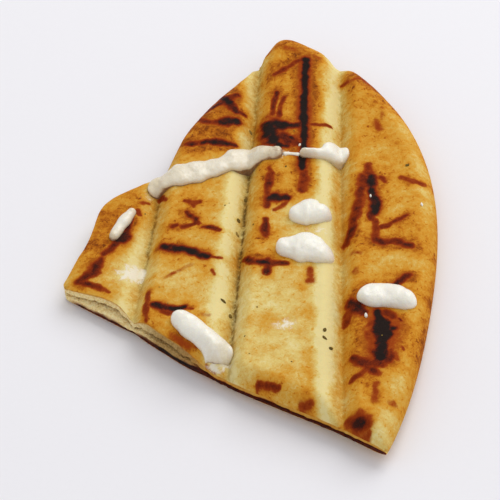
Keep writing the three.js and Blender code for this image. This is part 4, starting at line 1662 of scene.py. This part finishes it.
    def _face_triangles(self, first: int, columns: int, rows: int, turned: bool) -> Array:
        """Triangles of a cut face's grid of points.

        Args:
            first: number of its first point.
            columns: how many columns it has.
            rows: how many points each column has.
            turned: True to turn each triangle the other way.

        Returns:
            Three point numbers for each triangle.
        """
        number = first + np.arange(columns * rows).reshape(columns, rows)
        near, far = number[:-1], number[1:]
        a, b, c, d = near[:, :-1], near[:, 1:], far[:, 1:], far[:, :-1]
        halves = [np.stack(half, -1).reshape(-1, 3) for half in ((a, b, c), (a, c, d))]
        triangles = np.concatenate(halves)
        return triangles[:, ::-1] if turned else triangles

    def build(self) -> Piece:
        """Builds the bread as one closed mesh and dresses it.

        Returns:
            The finished piece.
        """
        places, triangles = self._sheet(self._loop(True), self._inner(self.step, self.edge_rows, True))
        under_inner = self._inner(self.under_step, self.edge_rows[1:3], False)
        under_places, under_triangles = self._sheet(self._loop(False), under_inner)
        heights = self.surface(*places.T), self.shape.underside(*under_places.T)
        groups = [np.column_stack([places, heights[0]]), np.column_stack([under_places, heights[1]])]
        faces = [triangles, under_triangles[:, ::-1] + len(places)]
        marks = [self._upper_marks(*places.T), self._under_marks(*under_places.T)]
        # Each face's darkened foot is singed crust and painted shade; on the front cut it climbs high up
        # the face beyond the pinch.
        cut_faces = (
            CutFace(self.shape.front, seed=61, scorch_and_shade=0.8, char_and_shade_heights=(0.4, 0.78)),
            CutFace(self.shape.back, seed=71, scorch_and_shade=0.5, char_and_shade_heights=(0.24, 0.3)),
        )
        for face in cut_faces:
            foot, head = (self.shape.cut_line(face.cut, self.step, upper) for upper in (False, True))
            wall, dressed = face.build(self, foot, head)
            columns, rows = wall.shape[:2]
            first = sum(len(group) for group in groups)
            faces.append(self._face_triangles(first, columns, rows, face.cut.side is Side.FRONT))
            groups.append(wall.reshape(-1, 3))
            marks.append({name: values.reshape(-1) for name, values in dressed.items()})
        joined = {name: np.concatenate([part[name] for part in marks]) for name in MARKS}
        return self._joined(np.concatenate(groups), np.concatenate(faces), joined)

    def _joined(self, points: Array, faces: Array, marks: Marks) -> Piece:
        """Welds places that several sheets share, and makes the piece.

        Args:
            points: all corners, in millimetres.
            faces: triangles of corner numbers.
            marks: marks for each corner.

        Returns:
            The piece with its material.
        """
        near = np.round(points, self.weld_digits)
        _, first, welded = np.unique(near, axis=0, return_index=True, return_inverse=True)
        faces = welded.reshape(-1)[faces]
        a, b, c = faces.T
        whole = (a != b) & (b != c) & (c != a)
        kept = {name: values[first] for name, values in marks.items()}
        piece = make_piece("toasted_quarter", self.placing.metres(points[first]), faces[whole], kept)
        piece.data.materials.append(CrustFinish().material())
        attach(piece, "root")
        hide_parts("bread")
        return piece


def path_through(points: Sequence[tuple[float, ...]], count: int, steps: int = 60) -> Array:
    """Places at even distances on a smooth curve through points.

    Args:
        points: the points, each of two or more numbers of which the first two are its place.
        count: how many places to return.
        steps: how finely the curve is followed between two points.

    Returns:
        Rows with as many numbers as the points have.
    """
    knots = np.array(points, float)
    knots = np.vstack([2 * knots[0] - knots[1], knots, 2 * knots[-1] - knots[-2]])
    dense = []
    for index in range(1, len(knots) - 2):
        before, start, end, after = knots[index - 1 : index + 3]
        share = np.linspace(0.0, 1.0, steps, endpoint=index == len(knots) - 3)[:, None]
        turn = (end - before) / 2
        leave = (after - start) / 2
        cube, square = share**3, share**2
        dense.append(
            (2 * cube - 3 * square + 1) * start
            + (cube - 2 * square + share) * turn
            + (3 * square - 2 * cube) * end
            + (cube - square) * leave
        )
    line = np.concatenate(dense)
    run = np.concatenate([[0.0], np.cumsum(np.hypot(*np.diff(line[:, :2], axis=0).T))])
    wanted = np.linspace(0.0, run[-1], count)
    return np.column_stack([np.interp(wanted, run, column) for column in line.T])


@dataclass(frozen=True)
class SauceRibbon:
    """One lying piece of sauce: a spine of x, y and half width on the crust, and a thickness."""

    name: str
    thickness: float
    spine: tuple[Triple, ...]
    seed: int
    thin: float = 0.0
    thin_ends: tuple[float, float] = (0.0, 0.0)
    crown: float = 0.85
    lying_free: bool = False
    ragged: float = 0.08
    folded: float = 0.1
    grainy: float = 0.05
    ridged: float = 0.03
    groove_fill: float = 0.55
    fill_reach: float = 5.0
    lumps: float = 0.07
    lump_rates: Place = (0.9, 0.7)
    ragged_size: float = 3.4
    ragged_around: float = 7.0
    fold_size: float = 3.0
    grain_size: float = 0.9
    ridge_rate: float = 1.35
    ridge_waver: float = 2.2
    ridge_waver_size: float = 4.0
    thin_edge: float = 0.5
    thin_reach: float = 5.0
    thin_patchy: float = 0.6
    thin_patch_size: float = 1.6
    sides: int = 44
    ring_step: float = 0.34
    least_rings: int = 24
    end_bunching: float = 0.7
    fine_points: int = 400
    length_points: int = 200
    root: float = 0.45
    root_rounding: float = 0.4

    def length(self) -> float:
        """Length of the spine in millimetres."""
        line = path_through(self.spine, self.length_points)
        return float(np.hypot(*np.diff(line[:, :2], axis=0).T).sum())

    def _rings(self, bread: Flatbread) -> tuple[Array, Array]:
        """Rings of places along the spine.

        Args:
            bread: what the sauce lies on.

        Returns:
            Points by ring and side, and how thin the sauce is at each.
        """
        length = self.length()
        even = np.linspace(0.0, 1.0, max(self.least_rings, round(length / self.ring_step)) + 1)
        share = between(even, (1.0 - np.cos(math.pi * even)) / 2.0, self.end_bunching)
        line, fine = path_through(self.spine, self.fine_points), np.linspace(0, 1, self.fine_points)
        centre = np.column_stack([np.interp(share, fine, column) for column in line.T])
        heading = np.gradient(centre[:, :2], axis=0)
        heading /= np.maximum(TINY, np.hypot(*heading.T))[:, None]
        side = np.column_stack([-heading[:, 1], heading[:, 0]])
        run = share * length
        roundness = rounded_edge(np.minimum(run, length - run), centre[:, 2])
        lump_x, lump_y = self.lump_rates
        lumps = 1.0 + self.lumps * np.sin(lump_x * centre[:, 0] + lump_y * centre[:, 1])
        turn = 2.0 * math.pi * np.arange(self.sides) / self.sides
        ragged = Unevenness(self.ragged_size, self.seed, 2, self.ragged)
        edge = 1.0 + ragged.at(run[:, None], self.ragged_around * np.cos(turn)[None, :])
        across = (centre[:, 2] * roundness * lumps)[:, None] * np.cos(turn)[None, :] * edge
        x = centre[:, :1] + side[:, :1] * across
        y = centre[:, 1:2] + side[:, 1:2] * across
        rise = np.sin(turn)[None, :] * roundness[:, None]
        heaped = np.maximum(0.0, rise) ** self.crown
        body = self.thickness * lumps[:, None] * heaped * self._uneven(x, y, run)
        fill = self.groove_fill * smooth(np.minimum(run, length - run) / self.fill_reach)[:, None]
        upper = bread.shape.top(x, y, fill) + bread.relief(x, y) + body
        lower = bread.surface(x, y) - self.root * (1.0 - self.root_rounding * roundness[:, None])
        z = np.where(rise > 0.0, np.maximum(upper, lower), lower)
        return np.stack([x, y, z], -1), self._thinness(x, y, run, heaped)

    def _uneven(self, x: Array, y: Array, run: Array) -> Array:
        """Folds, fine grain and ridges of the sauce.

        Args:
            x: first coordinates by ring and side.
            y: second coordinates by ring and side.
            run: each ring's distance along the spine.

        Returns:
            What to multiply the thickness by, by ring and side.
        """
        folds = Unevenness(self.fold_size, self.seed + 1, 2, self.folded).at(x, y)
        grain = Unevenness(self.grain_size, self.seed + 2, 2, self.grainy).at(x, y)
        waver = Unevenness(self.ridge_waver_size, self.seed + 3, amount=self.ridge_waver).at(x, y)
        ridge = self.ridged * np.sin(run[:, None] * self.ridge_rate + waver)
        return 1.0 + (folds + grain) + ridge

    def _thinness(self, x: Array, y: Array, run: Array, heaped: Array) -> Array:
        """How thin the sauce lies: all over, towards its edge, and in patches towards its ends.

        Args:
            x: first coordinates by ring and side.
            y: second coordinates by ring and side.
            run: each ring's distance along the spine.
            heaped: share of the full thickness, by ring and side.

        Returns:
            Numbers from 0 to 1 by ring and side.
        """
        start, end = self.thin_ends
        left = self.length() - run
        ends = np.maximum(start * np.exp(-run / self.thin_reach), end * np.exp(-left / self.thin_reach))
        patchy = 1.0 + Unevenness(self.thin_patch_size, self.seed + 4, 2, self.thin_patchy).at(x, y)
        edge = self.thin_edge * (1.0 - heaped) ** 3
        return np.clip(self.thin + edge + ends[:, None] * patchy, 0.0, 1.0)

    def build(self, bread: Flatbread, finish: Material) -> Piece:
        """Builds the sauce piece on the bread.

        Args:
            bread: what it lies on.
            finish: the sauce's material.

        Returns:
            The finished piece.
        """
        rings, thin = self._rings(bread)
        points, faces, marks = close_tube(rings, thin)
        name = self.name if self.lying_free else f"{self.name}_dressed"
        piece = make_piece(name, bread.placing.metres(points), faces, {"thin": marks})
        piece.data.materials.append(finish)
        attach(piece, "root")
        if not self.lying_free:
            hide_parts(self.name)
        return piece


def close_tube(rings: Array, values: Array) -> tuple[Array, list, Array]:
    """Joins rings into one closed skin whose first and last ring become a point each.

    Args:
        rings: points by ring and side.
        values: one number for each of them.

    Returns:
        Points, faces and values.
    """
    middle = rings[1:-1]
    count, sides = middle.shape[:2]
    points = np.concatenate([middle.reshape(-1, 3), rings[0].mean(0)[None], rings[-1].mean(0)[None]])
    marks = np.concatenate([values[1:-1].reshape(-1), [values[0].mean(), values[-1].mean()]])
    start, end = count * sides, count * sides + 1
    number = np.arange(count * sides).reshape(count, sides)
    faces = []
    for at in range(sides):
        after = (at + 1) % sides
        faces.append((start, int(number[0, after]), int(number[0, at])))
        faces.append((end, int(number[-1, at]), int(number[-1, after])))
        for near, far in zip(number, number[1:]):
            faces.append(tuple(int(corner) for corner in (near[at], near[after], far[after], far[at])))
    return points, faces, marks


@dataclass
class GarlicSauce:
    """All the sauce that lies on the quarter: seven pieces, and a thread and four drops beside them."""

    bread: Flatbread
    ribbons: tuple[SauceRibbon, ...] = (
        SauceRibbon(
            "sauce_streak",
            2.1,
            (
                (28.2, 31.6, 2.4), (31.9, 34.2, 3.5), (37.0, 34.9, 4.1), (42.4, 35.7, 4.2),
                (47.6, 36.8, 3.4), (50.8, 37.7, 3.1), (54.6, 39.3, 4.0), (58.6, 40.5, 4.4),
                (62.6, 40.1, 3.4), (66.2, 39.2, 2.5), (69.8, 38.6, 1.8),
            ),
            seed=101, thin=0.46, thin_ends=(0.35, 0.5), crown=0.6,
            ragged=0.14, folded=0.14, grainy=0.08, ridged=0.015,
        ),
        SauceRibbon(
            "sauce_tail",
            2.6,
            (
                (74.8, 37.4, 1.1), (78.4, 37.0, 1.2), (81.4, 36.8, 1.9),
                (84.2, 37.7, 3.3), (87.0, 38.6, 4.2), (90.0, 38.5, 3.6),
            ),
            seed=111, thin=0.1, thin_ends=(0.5, 0.0),
        ),
        SauceRibbon(
            "sauce_upper",
            3.2,
            (
                (69.2, 13.4, 3.0), (72.6, 13.0, 4.3), (75.6, 12.7, 4.5),
                (78.6, 12.0, 3.7), (81.8, 12.8, 2.8),
            ),
            seed=121,
        ),
        SauceRibbon(
            "sauce_lower",
            3.4,
            (
                (64.3, 0.5, 3.0), (68.0, -0.4, 4.2), (71.6, -1.2, 5.5),
                (74.6, -2.3, 5.0), (77.4, -4.0, 4.1), (80.9, -4.8, 3.4),
            ),
            seed=131,
        ),
        SauceRibbon(
            "sauce_crescent",
            3.0,
            (
                (85.6, -22.4, 2.2), (88.4, -22.4, 3.2), (92.2, -22.5, 4.4),
                (95.6, -23.2, 4.1), (98.5, -25.1, 3.3), (102.0, -27.6, 2.7),
            ),
            seed=141,
        ),
        SauceRibbon(
            "sauce_front",
            2.9,
            (
                (33.0, -21.0, 2.6), (36.9, -26.0, 3.3), (40.2, -30.2, 3.2),
                (42.8, -33.4, 3.5), (44.6, -36.2, 4.2), (45.2, -39.0, 3.9),
            ),
            seed=151, thin=0.12, thin_ends=(0.0, 0.4),
        ),
        SauceRibbon(
            "sauce_edge",
            1.7,
            ((15.9, 13.8, 1.3), (19.2, 19.8, 2.0), (23.2, 25.2, 1.4)),
            seed=161, thin=0.2, thin_ends=(0.5, 0.4),
        ),
    )
    traces: tuple[SauceRibbon, ...] = (
        SauceRibbon(
            "sauce_thread", 0.5, ((69.8, 38.6, 0.8), (72.4, 38.2, 0.55), (74.9, 37.5, 0.8)), 181, 0.3
        ),
        SauceRibbon("sauce_drop_front", 0.8, ((87.0, -29.3, 0.9), (88.0, -29.3, 0.9)), 191, 0.1),
        SauceRibbon("sauce_drop_rim", 0.7, ((108.4, 11.9, 0.8), (109.2, 11.9, 0.8)), 201, 0.1),
        SauceRibbon("sauce_drop_leg", 0.6, ((93.8, 17.5, 0.6), (94.5, 17.5, 0.6)), 211, 0.2),
        SauceRibbon("sauce_drop_bar", 0.5, ((74.9, 41.8, 0.6), (75.5, 41.4, 0.6)), 221, 0.3),
    )
    trace_root: float = 0.15
    cover_points: int = 60

    def build(self) -> list[Piece]:
        """Builds every sauce piece.

        Returns:
            The finished pieces.
        """
        finish = SauceFinish().material()
        free = {"lying_free": True, "groove_fill": 0.0, "root": self.trace_root}
        traces = [replace(trace, **free) for trace in self.traces]
        return [ribbon.build(self.bread, finish) for ribbon in (*self.ribbons, *traces)]

    def covers(self, x: float, y: float, margin: float) -> bool:
        """Tells whether a place lies under sauce or close to it.

        Args:
            x: its first coordinate.
            y: its second coordinate.
            margin: how close counts as close.

        Returns:
            True if it does.
        """
        for ribbon in self.ribbons:
            line = path_through(ribbon.spine, self.cover_points)
            if np.any(np.hypot(line[:, 0] - x, line[:, 1] - y) < line[:, 2] + margin):
                return True
        return False


@dataclass
class HerbFlakes:
    """Flakes and specks of dried herb baked onto the crust."""

    bread: Flatbread
    sauce: GarlicSauce
    flakes: tuple[Triple, ...] = (
        (106.6, 28.9, 0.2),
        (75.3, -33.8, 1.1),
        (75.0, -36.6, 2.3),
        (76.4, -39.4, 0.7),
        (56.9, 25.8, 1.6),
        (54.2, 16.0, 1.3),
        (53.4, 10.6, 2.0),
        (60.8, 54.6, 1.8),
        (48.9, -20.6, 1.4),
        (47.4, -16.4, 2.6),
    )
    length: float = 1.6
    width: float = 1.0
    corners: int = 9
    corner_radius: Span = (0.72, 1.0)
    curl: float = 0.12
    curl_share: Span = (0.2, 1.0)
    thickness: float = 0.16
    peak: float = 1.9
    root: float = 0.06
    middle_root: float = 0.1
    seed: int = 2024
    specks: int = 16
    speck_reach: Span = (0.02, 0.96)
    speck_length: Span = (0.45, 0.95)
    speck_shape: Span = (0.5, 0.9)
    speck_turn: Span = (0, 6.28)
    edge_clear: float = 2.0
    sauce_clear: float = 0.8
    tones: Span = (0.0, 0.7)

    def _leaf(self, place: Triple, size: Place, dice: np.random.Generator) -> tuple[Array, list]:
        """One flake as a small closed body that follows the crust.

        Args:
            place: x, y and turn.
            size: length and width.
            dice: the source of chance.

        Returns:
            Its points and faces.
        """
        x0, y0, turn = place
        angle = 2 * math.pi * np.arange(self.corners) / self.corners
        radius = dice.uniform(*self.corner_radius, self.corners)
        u, v = 0.5 * size[0] * radius * np.cos(angle), 0.5 * size[1] * radius * np.sin(angle)
        x = x0 + u * math.cos(turn) - v * math.sin(turn)
        y = y0 + u * math.sin(turn) + v * math.cos(turn)
        curl = self.curl * size[0] * np.abs(np.cos(angle)) * dice.uniform(*self.curl_share)
        height = self.bread.surface(x, y)
        middle = float(self.bread.surface(np.array(x0), np.array(y0)))
        thick = self.thickness * size[1]
        above = np.column_stack([x, y, height + thick + curl])
        below = np.column_stack([x, y, height - self.root])
        tip, foot = [x0, y0, middle + self.peak * thick], [x0, y0, middle - self.middle_root]
        n = self.corners
        faces = []
        for at in range(n):
            after = (at + 1) % n
            faces += [(at, after, 2 * n), (n + after, n + at, 2 * n + 1), (at, n + at, n + after, after)]
        return np.vstack([above, below, tip, foot]), faces

    def _places(self, dice: np.random.Generator) -> list[tuple[Triple, Place]]:
        """Where the flakes lie and how large they are, and specks at places drawn by chance.

        Args:
            dice: the source of chance.

        Returns:
            Place and turn, and length and width, of each.
        """
        items = [(flake, (self.length, self.width)) for flake in self.flakes]
        shape = self.bread.shape
        while len(items) < len(self.flakes) + self.specks:
            angle = dice.uniform(shape.front.angle, shape.back.angle)
            radius = math.sqrt(dice.uniform(*self.speck_reach)) * shape.rim_radius
            x, y = radius * math.cos(angle), radius * math.sin(angle)
            inside = float(shape.depth(np.array(x), np.array(y))) > self.edge_clear
            if inside and not self.sauce.covers(x, y, self.sauce_clear):
                length = dice.uniform(*self.speck_length)
                turned = (x, y, dice.uniform(*self.speck_turn))
                items.append((turned, (length, length * dice.uniform(*self.speck_shape))))
        return items

    def build(self) -> Piece:
        """Builds all flakes and specks as one piece.

        Returns:
            The finished piece.
        """
        dice = np.random.default_rng(self.seed)
        points, faces, tones, count = [], [], [], 0
        for place, size in self._places(dice):
            body, skin = self._leaf(place, size, dice)
            points.append(body)
            faces += [tuple(number + count for number in face) for face in skin]
            tones.append(np.full(len(body), dice.uniform(*self.tones)))
            count += len(body)
        metres = self.bread.placing.metres(np.concatenate(points))
        piece = make_piece("herb_flakes", metres, faces, {"tone": np.concatenate(tones)})
        piece.data.materials.append(HerbFinish().material())
        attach(piece, "root")
        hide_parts("bread")
        return piece


@dataclass
class Studio:
    """Pale floor and soft light."""

    floor_side: float = 6.0
    floor_drop: float = 0.0002
    key_power: float = 14.0
    key_size: float = 1.3
    key_place: Triple = (0.75, 0.8, 1.15)
    sky: Colour = (1.0, 1.0, 1.02)
    sky_strength: float = 0.68

    def build(self) -> None:
        """Builds the floor, the key light and the surrounding light."""
        half = self.floor_side / 2
        around = ((-half, -half), (half, -half), (half, half), (-half, half))
        corners = np.array([(x, y, -self.floor_drop) for x, y in around])
        floor = make_piece("pale_floor", corners, [(0, 1, 2, 3)], {})
        floor.data.materials.append(FloorFinish().material())
        lamp = bpy.data.lights.new("key_light", "AREA")
        lamp.energy, lamp.size = self.key_power, self.key_size
        key = bpy.data.objects.new("key_light", lamp)
        key.location = self.key_place
        key.rotation_euler = (-Vector(self.key_place)).to_track_quat("-Z", "Y").to_euler()
        bpy.context.scene.collection.objects.link(key)
        world = bpy.data.worlds.new("soft_surround")
        world.use_nodes = True
        background = world.node_tree.nodes["Background"]
        background.inputs["Color"].default_value = (*self.sky, 1.0)
        background.inputs["Strength"].default_value = self.sky_strength
        bpy.context.scene.world = world
        bpy.context.scene.view_settings.view_transform = "Standard"


@dataclass
class Viewpoint:
    """The camera, at the photograph's viewing angle and with a long lens."""

    placing: Placing
    eye: Triple = (64.5, -480.2, 517.0)
    aim: Triple = (56.57, 6.4, 5.0)
    roll: float = -7.447
    lens: float = 171.3
    sensor: float = 36.0
    clip: Span = (0.05, 20.0)

    def build(self) -> None:
        """Places the camera and makes it the scene's."""
        eye, aim = (Vector(self.placing.metres(np.array(place))) for place in (self.eye, self.aim))
        data = bpy.data.cameras.new("viewpoint")
        data.lens, data.sensor_width = self.lens, self.sensor
        data.clip_start, data.clip_end = self.clip
        camera = bpy.data.objects.new("viewpoint", data)
        camera.location = eye
        turn = (aim - eye).to_track_quat("-Z", "Y").to_matrix().to_4x4()
        turn @= Matrix.Rotation(math.radians(self.roll), 4, "Z")
        camera.rotation_euler = turn.to_euler()
        bpy.context.scene.collection.objects.link(camera)
        bpy.context.scene.camera = camera


def main() -> None:
    """Builds the whole scene in order and reports each piece."""
    logging.basicConfig(level=logging.INFO, format="%(message)s")
    shape = QuarterShape()
    placing = Placing.of(shape)
    bread = Flatbread(shape, placing, Toasting(shape))
    sauce = GarlicSauce(bread)
    pieces = [bread.build(), *sauce.build(), HerbFlakes(bread, sauce).build()]
    for piece in pieces:
        log.info("%s: %d faces", piece.name, len(piece.data.polygons))
    Studio().build()
    Viewpoint(placing).build()


if __name__ == "__main__":
    main()
